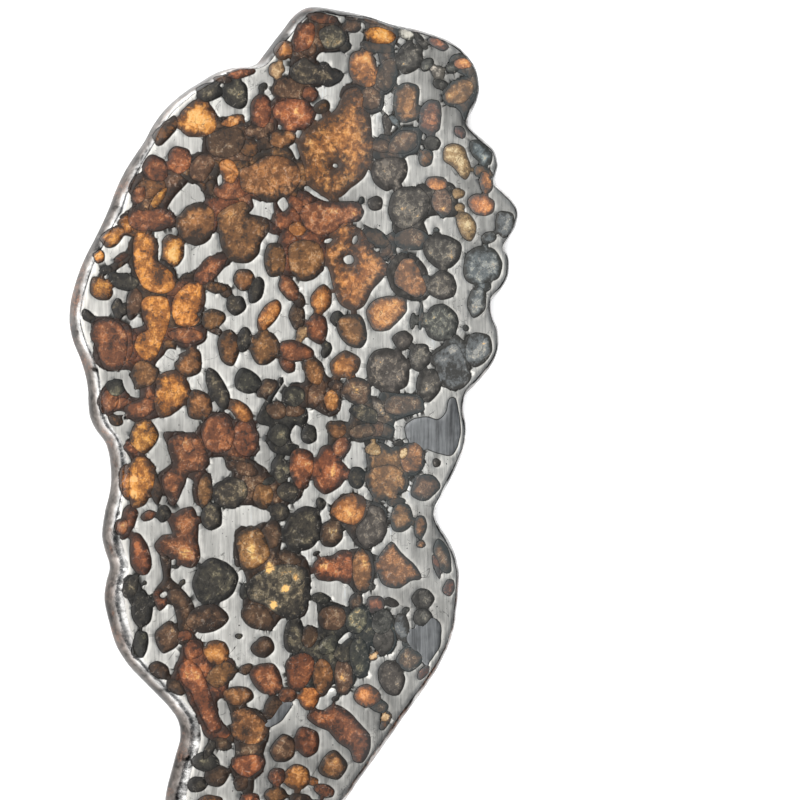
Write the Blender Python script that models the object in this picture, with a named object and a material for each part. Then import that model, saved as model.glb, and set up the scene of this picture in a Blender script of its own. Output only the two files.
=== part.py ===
"""A cut and polished slice of pallasite: an iron-nickel plate with olivine crystals grown through it.

The slice lies on its back face, polished face up. X runs across it and Y along it, towards its broad blunt end.
The origin is at the middle of its outline, on the surface that it lies on.
Run it with: blender --background --python part.py
"""

import bmesh
import bpy
from mathutils import Vector

MM = 0.001

# All plan sizes are in millimetres.
THICKNESS = 4.5
SEAM = 0.3  # open gap round each crystal
BACK_ROUNDING = 0.5  # the back face ends this far inside the widest outline
WIDEST_HEIGHT = 1.1
SHOULDER_HEIGHT = 4.1
SHOULDER_SHARE = 0.82  # share of the rim's slant that is reached at the shoulder
CUTTER_OVERSHOOT = 1.0

# The widest outline, clockwise from the blunt end's left corner: x, y, and the rim's slant there, which is
# how far the polished face's edge lies inside this outline.
OUTLINE = (
    (0.8, 72.5, 1.2), (2.4, 73.3, 1.4), (4.5, 73.4, 1.5), (7.6, 73.1, 1.5), (12.5, 72.5, 1.4),
    (16.5, 71.5, 1.3), (21.5, 70.8, 1.2), (25.2, 70.0, 1.2), (27.4, 69.4, 1.3), (29.3, 68.4, 1.4),
    (31.1, 67.0, 1.5), (32.6, 64.9, 1.5), (33.4, 62.5, 1.5), (33.4, 60.2, 1.5), (32.6, 58.1, 1.5),
    (31.6, 56.4, 1.4), (31.3, 55.2, 1.3), (32.5, 54.0, 1.5), (34.7, 52.5, 1.5), (36.4, 50.9, 1.5),
    (37.1, 48.4, 1.5), (36.6, 46.8, 1.4), (36.5, 45.6, 1.4), (37.7, 44.5, 1.5), (39.7, 42.8, 1.5),
    (40.9, 40.6, 1.5), (40.5, 38.0, 1.5), (39.1, 35.9, 1.4), (38.3, 34.4, 1.3), (38.8, 33.4, 1.4),
    (39.2, 31.6, 1.5), (38.8, 28.9, 1.5), (37.3, 26.8, 1.4), (35.9, 25.3, 1.4), (35.6, 24.0, 1.4),
    (36.1, 22.4, 1.4), (37.0, 20.6, 1.5), (37.2, 18.0, 1.5), (36.6, 15.5, 1.5), (34.9, 13.1, 1.5),
    (32.7, 10.8, 1.5), (31.1, 9.4, 1.4), (30.5, 8.2, 1.4), (30.5, 6.4, 1.5), (31.1, 3.2, 1.6),
    (30.7, 0.2, 1.6), (29.4, -2.7, 1.6), (27.9, -5.4, 1.6), (26.4, -7.9, 1.5), (25.4, -9.6, 1.4),
    (25.2, -11.2, 1.4), (26.0, -12.8, 1.5), (27.6, -14.9, 1.6), (28.9, -17.5, 1.6), (29.7, -21.2, 1.6),
    (29.3, -26.2, 1.6), (28.8, -30.0, 1.6), (27.6, -33.4, 1.7), (25.8, -36.7, 1.8), (23.0, -40.5, 1.9),
    (19.8, -44.3, 1.9), (16.7, -48.2, 1.9), (13.6, -52.0, 1.9), (10.8, -55.4, 1.9), (8.6, -58.2, 1.9),
    (5.2, -62.2, 1.9), (0.8, -66.6, 1.9), (-4.6, -70.0, 1.9), (-10.6, -71.4, 1.9), (-16.2, -69.8, 1.9),
    (-20.2, -66.2, 2.0), (-22.2, -61.2, 2.1), (-22.4, -55.8, 2.2), (-21.0, -50.2, 2.0), (-19.9, -46.4, 2.2),
    (-20.2, -43.6, 2.1), (-21.9, -41.1, 1.8), (-24.3, -38.6, 1.8), (-26.7, -36.2, 1.8), (-28.9, -33.8, 1.8),
    (-30.7, -30.9, 2.0), (-31.8, -27.5, 2.0), (-32.7, -23.6, 2.2), (-32.4, -20.7, 1.7), (-31.8, -18.2, 1.9),
    (-32.6, -15.6, 2.0), (-33.1, -13.0, 1.7), (-32.6, -9.4, 1.4), (-31.8, -6.0, 1.2), (-31.6, -3.2, 1.4),
    (-31.9, -0.4, 1.6), (-32.6, 1.7, 1.5), (-34.2, 3.8, 1.5), (-35.2, 6.2, 1.6), (-35.5, 10.2, 1.2),
    (-36.0, 12.7, 1.2), (-36.8, 15.1, 1.3), (-37.8, 17.4, 1.1), (-38.4, 19.8, 0.8), (-38.5, 22.3, 0.8),
    (-38.1, 25.1, 1.0), (-37.0, 28.6, 0.9), (-35.8, 31.4, 0.9), (-34.3, 34.2, 1.0), (-32.0, 38.9, 1.4),
    (-31.0, 41.5, 1.4), (-29.4, 44.9, 1.3), (-27.6, 47.7, 1.0), (-25.9, 50.2, 0.8), (-24.5, 52.7, 0.7),
    (-22.5, 55.3, 0.7), (-19.6, 57.9, 0.8), (-16.6, 59.9, 1.0), (-13.8, 61.6, 1.0), (-11.2, 62.5, 0.8),
    (-8.6, 62.8, 0.7), (-6.7, 63.5, 0.7), (-5.2, 65.3, 0.8), (-3.6, 67.4, 0.9), (-1.9, 69.5, 1.0),
    (-0.6, 71.2, 1.1),
)

# The crystals, by colour: each one's corners on the polished face, clockwise from its upper left.
CRYSTALS = {
    "gold": (
        ((25.9, 50.6), (27.3, 51.5), (29.3, 50.9), (30.1, 49.4), (30.7, 47.4), (29.8, 45.8), (28.4, 46.8),
         (27.2, 48.0), (25.9, 48.8)),
        ((11.6, 69.7), (13.6, 70.2), (16.0, 69.6), (16.9, 68.8), (15.4, 67.8), (12.6, 67.8), (11.4, 68.8)),
    ),
    "amber": (
        ((-21.2, 54.0), (-20.1, 55.4), (-18.5, 56.4), (-16.2, 55.9), (-15.0, 54.0), (-15.4, 52.0),
         (-17.2, 50.9), (-19.6, 50.8), (-21.2, 52.0)),
        ((-0.8, 50.2), (0.4, 52.4), (3.4, 54.4), (6.0, 56.2), (7.6, 59.2), (9.8, 60.0), (10.8, 58.6),
         (10.7, 56.8), (12.0, 55.4), (12.3, 52.4), (12.3, 48.4), (11.0, 45.4), (8.6, 43.6), (6.4, 41.9),
         (3.6, 42.2), (1.0, 43.8), (0.5, 46.2), (-0.2, 48.2)),
        ((4.6, 34.4), (6.2, 36.4), (9.0, 37.0), (10.8, 36.2), (12.4, 33.6), (14.8, 31.2), (14.6, 29.0),
         (12.4, 26.6), (11.0, 24.2), (9.0, 23.3), (6.8, 24.4), (5.7, 26.8), (5.0, 29.4), (4.2, 31.4)),
        ((8.4, 63.6), (9.0, 65.6), (11.0, 66.1), (12.8, 65.2), (13.2, 63.0), (12.2, 61.0), (10.4, 60.5),
         (8.9, 61.6)),
        ((-29.0, 33.4), (-28.4, 35.0), (-25.8, 34.4), (-25.2, 32.4), (-25.6, 30.8), (-23.4, 29.4),
         (-22.0, 27.6), (-22.8, 26.0), (-25.0, 25.5), (-27.4, 26.4), (-28.8, 29.4)),
        ((-24.3, 31.4), (-24.2, 33.6), (-22.8, 34.8), (-20.9, 33.8), (-20.8, 31.4), (-22.0, 29.9)),
        ((-22.5, 22.8), (-22.0, 25.0), (-20.0, 27.0), (-18.2, 27.2), (-17.2, 25.2), (-17.4, 23.4),
         (-18.5, 22.2), (-18.0, 21.2), (-19.4, 20.3), (-21.8, 20.6)),
        ((-27.6, 24.0), (-26.2, 24.9), (-23.6, 24.6), (-23.0, 22.4), (-23.4, 20.2), (-24.2, 18.2),
         (-25.4, 15.2), (-27.4, 15.0), (-28.8, 16.8), (-28.2, 18.6), (-26.6, 19.6), (-27.4, 21.4)),
        ((-25.3, 9.8), (-24.6, 12.2), (-22.4, 13.0), (-20.2, 11.6), (-19.6, 9.8), (-20.8, 7.6), (-23.0, 6.0),
         (-24.8, 5.9), (-25.4, 7.8)),
        ((-29.5, -2.8), (-29.0, -0.9), (-27.2, -0.8), (-25.6, -2.4), (-25.9, -5.4), (-27.2, -8.0),
         (-29.2, -8.6), (-29.7, -6.2)),
        ((11.6, 23.2), (13.2, 24.9), (15.8, 25.6), (18.4, 25.2), (18.7, 23.4), (17.4, 21.8), (15.6, 20.3),
         (13.2, 20.0), (12.2, 21.2)),
        ((5.2, -10.2), (6.2, -8.1), (8.8, -7.1), (11.2, -8.2), (10.9, -10.6), (9.3, -12.1), (7.0, -11.6)),
        ((30.3, 41.8), (31.2, 42.9), (33.4, 43.0), (35.1, 42.0), (34.9, 40.4), (33.4, 39.7), (31.4, 40.2)),
        ((-12.2, -60.4), (-10.4, -58.6), (-7.6, -58.8), (-5.8, -60.8), (-6.4, -63.6), (-8.8, -64.8),
         (-11.4, -63.6)),
    ),
    "rust": (
        ((-5.0, 54.8), (-4.4, 56.8), (-1.6, 57.4), (1.0, 57.0), (2.2, 55.2), (1.4, 53.5), (-0.6, 52.7),
         (-3.2, 53.0)),
        ((-36.0, 19.0), (-35.2, 20.7), (-33.0, 21.1), (-31.0, 20.1), (-30.2, 18.0), (-30.5, 15.2),
         (-31.6, 13.1), (-33.9, 13.6), (-34.9, 16.0)),
        ((-23.2, 1.6), (-21.6, 2.7), (-18.8, 3.0), (-17.4, 1.0), (-16.3, -1.4), (-17.3, -2.8),
         (-19.6, -3.2), (-20.8, -5.4), (-22.4, -8.2), (-23.8, -6.2), (-24.2, -4.0), (-22.4, -2.0)),
        ((-17.6, 3.6), (-16.4, 5.4), (-14.4, 6.2), (-12.6, 5.0), (-12.0, 2.8), (-12.8, 0.6), (-15.0, -0.2),
         (-16.8, 0.9)),
        ((-23.0, -11.0), (-21.4, -9.4), (-19.2, -8.9), (-18.3, -11.0), (-18.3, -14.0), (-18.0, -17.0),
         (-19.2, -18.4), (-21.2, -17.8), (-22.4, -16.4), (-24.4, -16.4), (-25.4, -14.8), (-24.2, -13.4),
         (-22.4, -13.0)),
        ((0.9, -43.6), (2.0, -42.5), (3.8, -42.7), (5.6, -41.9), (8.0, -43.0), (10.0, -45.0),
         (11.9, -47.2), (12.0, -49.4), (10.8, -51.4), (9.3, -51.2), (8.6, -49.4), (6.6, -48.0),
         (4.8, -46.0), (2.6, -45.0)),
        ((2.4, -2.0), (3.5, 0.5), (5.0, 0.8), (5.9, -0.9), (8.1, -3.2), (6.8, -5.6), (4.2, -6.9),
         (2.2, -5.4)),
        ((1.9, -19.0), (3.0, -17.6), (5.2, -17.4), (7.0, -16.5), (8.7, -16.9), (8.8, -19.6), (8.4, -21.8),
         (6.2, -21.2), (4.6, -21.3), (2.8, -20.8)),
        ((21.3, 54.0), (21.5, 57.0), (22.8, 58.4), (24.8, 58.4), (25.1, 56.2), (24.7, 53.8), (22.8, 53.0)),
        ((-29.8, 37.8), (-29.2, 38.8), (-27.4, 38.4), (-24.5, 38.9), (-22.5, 38.2), (-22.2, 36.7),
         (-24.2, 35.8), (-26.0, 35.5), (-28.0, 35.4), (-29.6, 36.2)),
        ((0.6, 40.2), (3.6, 41.2), (6.2, 40.9), (9.4, 41.0), (10.9, 39.6), (10.0, 38.1), (7.2, 37.6),
         (5.2, 36.0), (2.8, 35.6), (0.6, 36.8), (-0.3, 38.8)),
        ((-21.4, -34.6), (-20.0, -33.4), (-18.2, -34.4), (-17.0, -36.8), (-16.0, -39.2), (-15.0, -42.0),
         (-14.2, -44.6), (-15.8, -45.0), (-17.2, -43.0), (-18.6, -40.2), (-19.4, -38.2), (-20.6, -37.0)),
    ),
    "brown": (
        ((-21.7, 37.2), (-20.0, 39.3), (-17.8, 40.0), (-15.7, 39.0), (-15.5, 37.0), (-16.2, 34.6),
         (-18.2, 33.3), (-20.2, 33.9), (-21.4, 35.4)),
        ((-14.7, 38.2), (-13.0, 39.6), (-10.4, 40.4), (-8.8, 39.2), (-6.6, 38.0), (-5.9, 36.2),
         (-7.4, 34.0), (-7.9, 32.2), (-9.8, 30.7), (-12.6, 31.1), (-14.0, 33.0), (-14.5, 35.6)),
        ((-10.8, 45.6), (-9.0, 46.4), (-6.2, 48.0), (-3.2, 47.9), (-0.9, 46.7), (-0.4, 44.4), (-1.8, 42.4),
         (-3.4, 41.1), (-6.0, 40.7), (-8.4, 41.8), (-10.5, 42.6)),
        ((16.6, 57.6), (17.0, 60.2), (18.8, 61.2), (20.9, 60.7), (20.9, 58.2), (20.6, 55.6), (18.6, 54.8),
         (17.0, 55.5)),
        ((6.3, 21.0), (7.6, 22.3), (10.0, 22.4), (11.1, 21.0), (11.4, 18.4), (10.4, 17.2), (8.0, 17.7),
         (6.6, 19.4)),
        ((-2.3, 33.4), (0.0, 34.5), (3.0, 33.8), (3.8, 31.2), (2.4, 28.9), (0.2, 28.1), (-1.9, 29.4)),
        ((-12.5, -42.4), (-9.4, -41.6), (-7.4, -43.4), (-6.0, -45.0), (-7.0, -46.8), (-9.0, -47.4),
         (-11.8, -46.2), (-12.6, -44.4)),
        ((11.7, -3.8), (13.4, -2.8), (16.4, -2.6), (18.2, -4.0), (18.4, -6.0), (16.6, -7.4), (13.6, -8.2),
         (12.1, -6.4)),
        ((-11.6, -13.8), (-10.0, -12.5), (-7.9, -12.4), (-6.4, -14.8), (-5.9, -17.0), (-8.2, -18.8),
         (-10.6, -18.8), (-11.2, -16.2)),
        ((25.6, 59.2), (26.5, 60.6), (27.4, 61.9), (29.4, 62.4), (31.0, 62.0), (31.2, 60.6), (29.7, 58.8),
         (27.2, 58.2)),
        ((13.5, -18.6), (14.6, -16.8), (16.2, -15.4), (17.8, -17.2), (20.2, -19.3), (21.4, -21.3),
         (19.6, -21.7), (17.2, -22.8), (14.4, -21.9)),
        ((16.9, 30.0), (18.2, 31.7), (20.0, 31.8), (21.2, 30.0), (22.1, 28.0), (22.2, 26.5), (20.6, 25.6),
         (18.6, 26.6), (16.8, 27.8)),
        ((-9.1, 17.4), (-8.0, 19.0), (-5.6, 19.3), (-4.3, 17.8), (-4.7, 15.6), (-6.0, 14.4), (-7.6, 14.3),
         (-8.7, 15.6)),
    ),
    "dark": (
        ((-2.0, 62.8), (0.4, 64.3), (2.4, 63.3), (4.0, 63.7), (5.6, 62.6), (7.1, 62.2), (6.4, 61.0),
         (4.6, 60.2), (2.2, 60.4), (0.2, 60.2), (-1.8, 61.0)),
        ((-3.2, -12.8), (-2.0, -10.6), (0.2, -9.2), (2.4, -9.6), (3.3, -11.8), (2.7, -14.4), (1.2, -15.9),
         (-1.6, -16.1), (-2.9, -14.9)),
        ((11.7, 14.0), (12.8, 16.3), (15.4, 16.8), (18.2, 15.8), (19.2, 13.4), (18.8, 11.0), (16.8, 10.1),
         (13.8, 10.3), (12.1, 11.8)),
        ((12.5, 46.0), (13.2, 48.0), (15.6, 48.7), (18.4, 48.4), (18.9, 46.6), (18.0, 44.8), (15.2, 43.3),
         (13.2, 44.4)),
        ((15.6, 40.0), (16.4, 42.6), (18.2, 43.8), (21.4, 43.7), (23.0, 42.0), (22.6, 39.6), (20.6, 38.1),
         (18.2, 37.0), (16.4, 38.0)),
        ((21.9, 34.2), (23.6, 35.9), (26.4, 35.9), (28.8, 34.6), (28.5, 32.2), (26.8, 30.7), (24.4, 30.8),
         (22.5, 32.4)),
        ((22.2, 21.6), (23.4, 23.8), (25.4, 24.4), (27.4, 23.4), (28.4, 21.6), (27.4, 19.2), (25.2, 18.4),
         (23.0, 19.2)),
        ((23.4, 15.3), (25.6, 16.9), (28.2, 17.6), (29.5, 15.0), (30.6, 12.8), (29.0, 10.6), (27.0, 10.3),
         (25.4, 12.0), (25.0, 13.8)),
        ((-9.6, -21.4), (-7.6, -19.6), (-4.6, -18.7), (-2.0, -18.6), (0.7, -19.5), (1.3, -22.4),
         (0.6, -25.4), (-1.2, -27.2), (-4.2, -26.6), (-6.6, -24.9), (-9.2, -23.8)),
        ((-19.0, -21.2), (-18.2, -18.8), (-15.8, -17.2), (-13.2, -18.1), (-11.4, -20.2), (-12.5, -23.0),
         (-15.0, -24.3), (-17.9, -23.8)),
        ((-16.7, 50.6), (-15.5, 51.4), (-13.6, 52.2), (-11.0, 52.2), (-10.2, 50.6), (-11.0, 48.6),
         (-13.0, 47.7), (-15.2, 47.8), (-16.6, 48.8)),
        ((17.2, 65.4), (17.7, 66.9), (19.4, 68.0), (21.4, 67.1), (21.6, 65.4), (20.4, 63.6), (18.2, 63.0)),
        ((8.6, -32.6), (9.4, -31.2), (11.0, -31.5), (11.8, -34.4), (11.5, -37.0), (9.7, -37.2),
         (8.7, -35.0)),
        ((13.8, -36.4), (15.2, -35.1), (17.2, -35.6), (18.4, -38.2), (17.3, -40.6), (15.3, -40.2),
         (14.0, -38.4)),
        ((9.7, -12.9), (11.6, -10.8), (12.2, -9.2), (14.5, -9.9), (15.1, -12.6), (14.1, -14.9),
         (11.6, -16.1), (10.0, -14.6)),
        ((-15.1, -5.6), (-12.6, -4.2), (-10.2, -5.0), (-9.8, -7.0), (-11.6, -8.8), (-14.0, -8.6),
         (-15.2, -7.4)),
    ),
    "slate": (
        ((29.6, 31.0), (30.2, 33.0), (32.6, 34.3), (35.2, 33.8), (36.6, 31.6), (35.9, 29.2), (33.6, 28.4),
         (31.2, 28.2), (29.8, 29.0)),
        ((30.3, 18.6), (31.6, 19.6), (34.2, 19.1), (34.7, 16.8), (33.2, 14.8), (31.4, 14.1), (30.0, 15.6)),
    ),
}

COLOURS = {
    "iron": (0.58, 0.58, 0.57),
    "gold": (0.80, 0.58, 0.22),
    "amber": (0.72, 0.32, 0.05),
    "rust": (0.34, 0.09, 0.03),
    "brown": (0.27, 0.13, 0.05),
    "dark": (0.07, 0.06, 0.045),
    "slate": (0.12, 0.15, 0.17),
}
IRON_ROUGHNESS = 0.28
CRYSTAL_ROUGHNESS = 0.12


def clear_scene():
    for thing in list(bpy.data.objects):
        bpy.data.objects.remove(thing, do_unlink=True)


def material(name, metallic, roughness):
    made = bpy.data.materials.new(name)
    made.use_nodes = True
    shader = made.node_tree.nodes["Principled BSDF"]
    shader.inputs["Base Color"].default_value = (*COLOURS[name], 1.0)
    shader.inputs["Metallic"].default_value = metallic
    shader.inputs["Roughness"].default_value = roughness
    return made


def moved_inward(outline, distances):
    """The outline with each corner moved to the right of its way round, by that corner's distance."""
    count = len(outline)
    moved = []
    for index, (corner, distance) in enumerate(zip(outline, distances)):
        before = (corner - outline[index - 1]).normalized()
        after = (outline[(index + 1) % count] - corner).normalized()
        along = (before + after).normalized()
        inward = Vector((along.y, -along.x))
        mitre = max(inward.dot(Vector((before.y, -before.x))), 0.5)
        moved.append(corner + inward * distance / mitre)
    return moved


def slab(name, rings):
    """A closed solid through rings of plan corners, each ring at its own height, from the lowest up."""
    shape = bmesh.new()
    made = [
        [shape.verts.new((corner.x * MM, corner.y * MM, height * MM)) for corner in outline]
        for height, outline in rings
    ]
    for low, high in zip(made, made[1:]):
        for index in range(len(low)):
            shape.faces.new((low[index - 1], low[index], high[index], high[index - 1]))
    shape.faces.new(made[0])
    shape.faces.new(made[-1])
    bmesh.ops.recalc_face_normals(shape, faces=shape.faces)
    mesh = bpy.data.meshes.new(name)
    shape.to_mesh(mesh)
    shape.free()
    return bpy.data.objects.new(name, mesh)


def plan_middle():
    across = [x for x, _, _ in OUTLINE]
    along = [y for _, y, _ in OUTLINE]
    return Vector(((min(across) + max(across)) / 2, (min(along) + max(along)) / 2))


def make_plate(middle):
    widest = [Vector((x, y)) - middle for x, y, _ in OUTLINE]
    slants = [slant for _, _, slant in OUTLINE]
    shoulder = [slant * SHOULDER_SHARE for slant in slants]
    plate = slab(
        "iron_nickel_plate",
        (
            (0.0, moved_inward(widest, [BACK_ROUNDING] * len(widest))),
            (WIDEST_HEIGHT, widest),
            (SHOULDER_HEIGHT, moved_inward(widest, shoulder)),
            (THICKNESS, moved_inward(widest, slants)),
        ),
    )
    plate.data.materials.append(material("iron", 1.0, IRON_ROUGHNESS))
    bpy.context.scene.collection.objects.link(plate)
    return plate


def make_crystals(middle, seats):
    """Each crystal as its own solid, with a cutter in the seats collection for its hole in the plate."""
    for colour, outlines in CRYSTALS.items():
        paint = material(colour, 0.0, CRYSTAL_ROUGHNESS)
        for number, corners in enumerate(outlines, start=1):
            outline = [Vector(corner) - middle for corner in corners]
            name = f"{colour}_crystal_{number}"
            crystal = slab(name, ((0.0, outline), (THICKNESS, outline)))
            crystal.data.materials.append(paint)
            bpy.context.scene.collection.objects.link(crystal)
            seat = moved_inward(outline, [-SEAM] * len(outline))
            cutter = slab(
                f"{name}_seat", ((-CUTTER_OVERSHOOT, seat), (THICKNESS + CUTTER_OVERSHOOT, seat))
            )
            cutter.hide_render = True
            cutter.display_type = "WIRE"
            seats.objects.link(cutter)


def main():
    clear_scene()
    middle = plan_middle()
    plate = make_plate(middle)
    seats = bpy.data.collections.new("seats")
    bpy.context.scene.collection.children.link(seats)
    make_crystals(middle, seats)
    cut = plate.modifiers.new("crystal seats", "BOOLEAN")
    cut.operation = "DIFFERENCE"
    cut.operand_type = "COLLECTION"
    cut.collection = seats


main()
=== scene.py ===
"""The finished look of a pallasite slice: a ground iron-nickel plate, its olivine crystals, and a soft studio."""

import math
import random

import bpy
import numpy as np
from mathutils import Matrix, Vector, geometry, kdtree


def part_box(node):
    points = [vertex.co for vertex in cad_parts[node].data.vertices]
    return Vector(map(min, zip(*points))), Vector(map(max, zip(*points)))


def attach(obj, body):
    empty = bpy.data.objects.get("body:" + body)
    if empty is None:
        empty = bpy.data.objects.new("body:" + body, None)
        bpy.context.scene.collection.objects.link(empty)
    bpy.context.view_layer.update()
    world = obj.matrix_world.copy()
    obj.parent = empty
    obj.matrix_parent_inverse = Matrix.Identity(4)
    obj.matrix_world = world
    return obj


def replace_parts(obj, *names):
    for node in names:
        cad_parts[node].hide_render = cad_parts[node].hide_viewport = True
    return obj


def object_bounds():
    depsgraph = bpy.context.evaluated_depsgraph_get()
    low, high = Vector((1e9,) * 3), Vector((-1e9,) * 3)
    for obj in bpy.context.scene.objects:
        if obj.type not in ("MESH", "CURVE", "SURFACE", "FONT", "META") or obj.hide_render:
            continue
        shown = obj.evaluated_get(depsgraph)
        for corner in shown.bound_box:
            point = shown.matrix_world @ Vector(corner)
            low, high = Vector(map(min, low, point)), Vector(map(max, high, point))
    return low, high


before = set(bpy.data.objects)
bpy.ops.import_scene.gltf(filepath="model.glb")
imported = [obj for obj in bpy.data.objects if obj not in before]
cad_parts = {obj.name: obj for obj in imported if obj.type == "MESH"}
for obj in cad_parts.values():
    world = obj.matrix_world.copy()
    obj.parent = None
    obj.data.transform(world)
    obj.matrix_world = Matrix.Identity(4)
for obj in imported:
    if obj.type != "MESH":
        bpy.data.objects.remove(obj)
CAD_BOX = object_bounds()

MM = 0.001
SEED = 7

# Sizes are in millimetres. Plan places are measured from the slice's own drawing origin, whose offset from the
# frame's origin is PLAN_ORIGIN.
PLAN_ORIGIN = (1.2, 1.0)

# The slice's section
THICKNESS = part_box("iron_nickel_plate")[1][2] / MM
FACE_HEIGHT = THICKNESS - 0.03
WIDEST_HEIGHT = 1.1  # the height at which the CAD plate is widest
RIDGE_HALF = 0.2  # half height of the upright band at the widest place
BACK_ROUNDING = 0.5  # how far in from the widest place the back face is rounded
EDGE_BEVEL = 0.12  # width of the small bevel round the polished face
FACE_DROP = 0.05  # how far the bevel falls at the polished face's edge
RIM_CURVE = 1.7  # 2 is a quarter circle from the widest place up to the face
RIM_REACH = 0.9  # how much of that curve the rim takes up
RIM_SHARES = (0.06, 0.18, 0.34, 0.52, 0.7, 0.86)  # rings of points between the widest place and the face
BOX_MARGIN = 0.002  # how far inside the CAD model's box every point stays
SHARP_ANGLE = math.radians(52)

# Outlines and the seams between them
EDGE_STEP = 0.36  # spacing of the points along a crystal's or the slice's edge
FILL_STEP = 0.7  # spacing of the points in between
FILL_JITTER = 0.2  # how far each of them is moved at random, in steps
FILL_ROWS = 0.87  # distance of neighbouring rows, in steps, for even triangles
GROOVE_HALF = 0.11  # half width of the fine groove where two minerals meet
GROOVE_DEPTH = 0.03
JOINT_SHARE = 0.35  # a groove between two crystals, beside one between crystal and metal
CLEARANCE = 0.02  # how far each solid draws back from its neighbour's wall
BRIDGE_GAP = 0.75  # crystals nearer than this touch, as most of the stone's do
BRIDGE_OVERLAP = 0.15
SMALLEST_PIECE = 0.12  # mm2: smaller leftovers of a cut crystal stay metal
NODE_GROWTH = 0.12  # how far a node's crystal reaches past its smoothed CAD outline
NODE_WANDER, GRAIN_WANDER, MASS_WANDER = 0.09, 0.05, 0.08  # irregularity of an outline, by what it belongs to
CORNER_TENSION, GRAIN_TENSION = 0.4, 0.42  # lower than 0.5 keeps a crystal's corners a little angular
GRAIN_CORNERS = (6, 9)  # fewest and most
CORNER_SHIFT = 0.22  # how uneven they are round the crystal, in shares of their spacing
CORNER_REACH = (0.94, 1.12)
SAME_HEIGHT = 0.01

# Dark specks in the metal
SPECKS_PER_MM2 = 0.11
SPECK_RADII = (0.05, 0.17)
SPECK_NARROWEST = 0.45  # width as a share of length
SPECK_HEIGHT = 0.02  # half height, of a speck one unit in radius
SPECK_SINK = 0.002
SPECK_FROM_CRYSTAL = 0.45
SPECK_FROM_EDGE = 0.5

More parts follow.
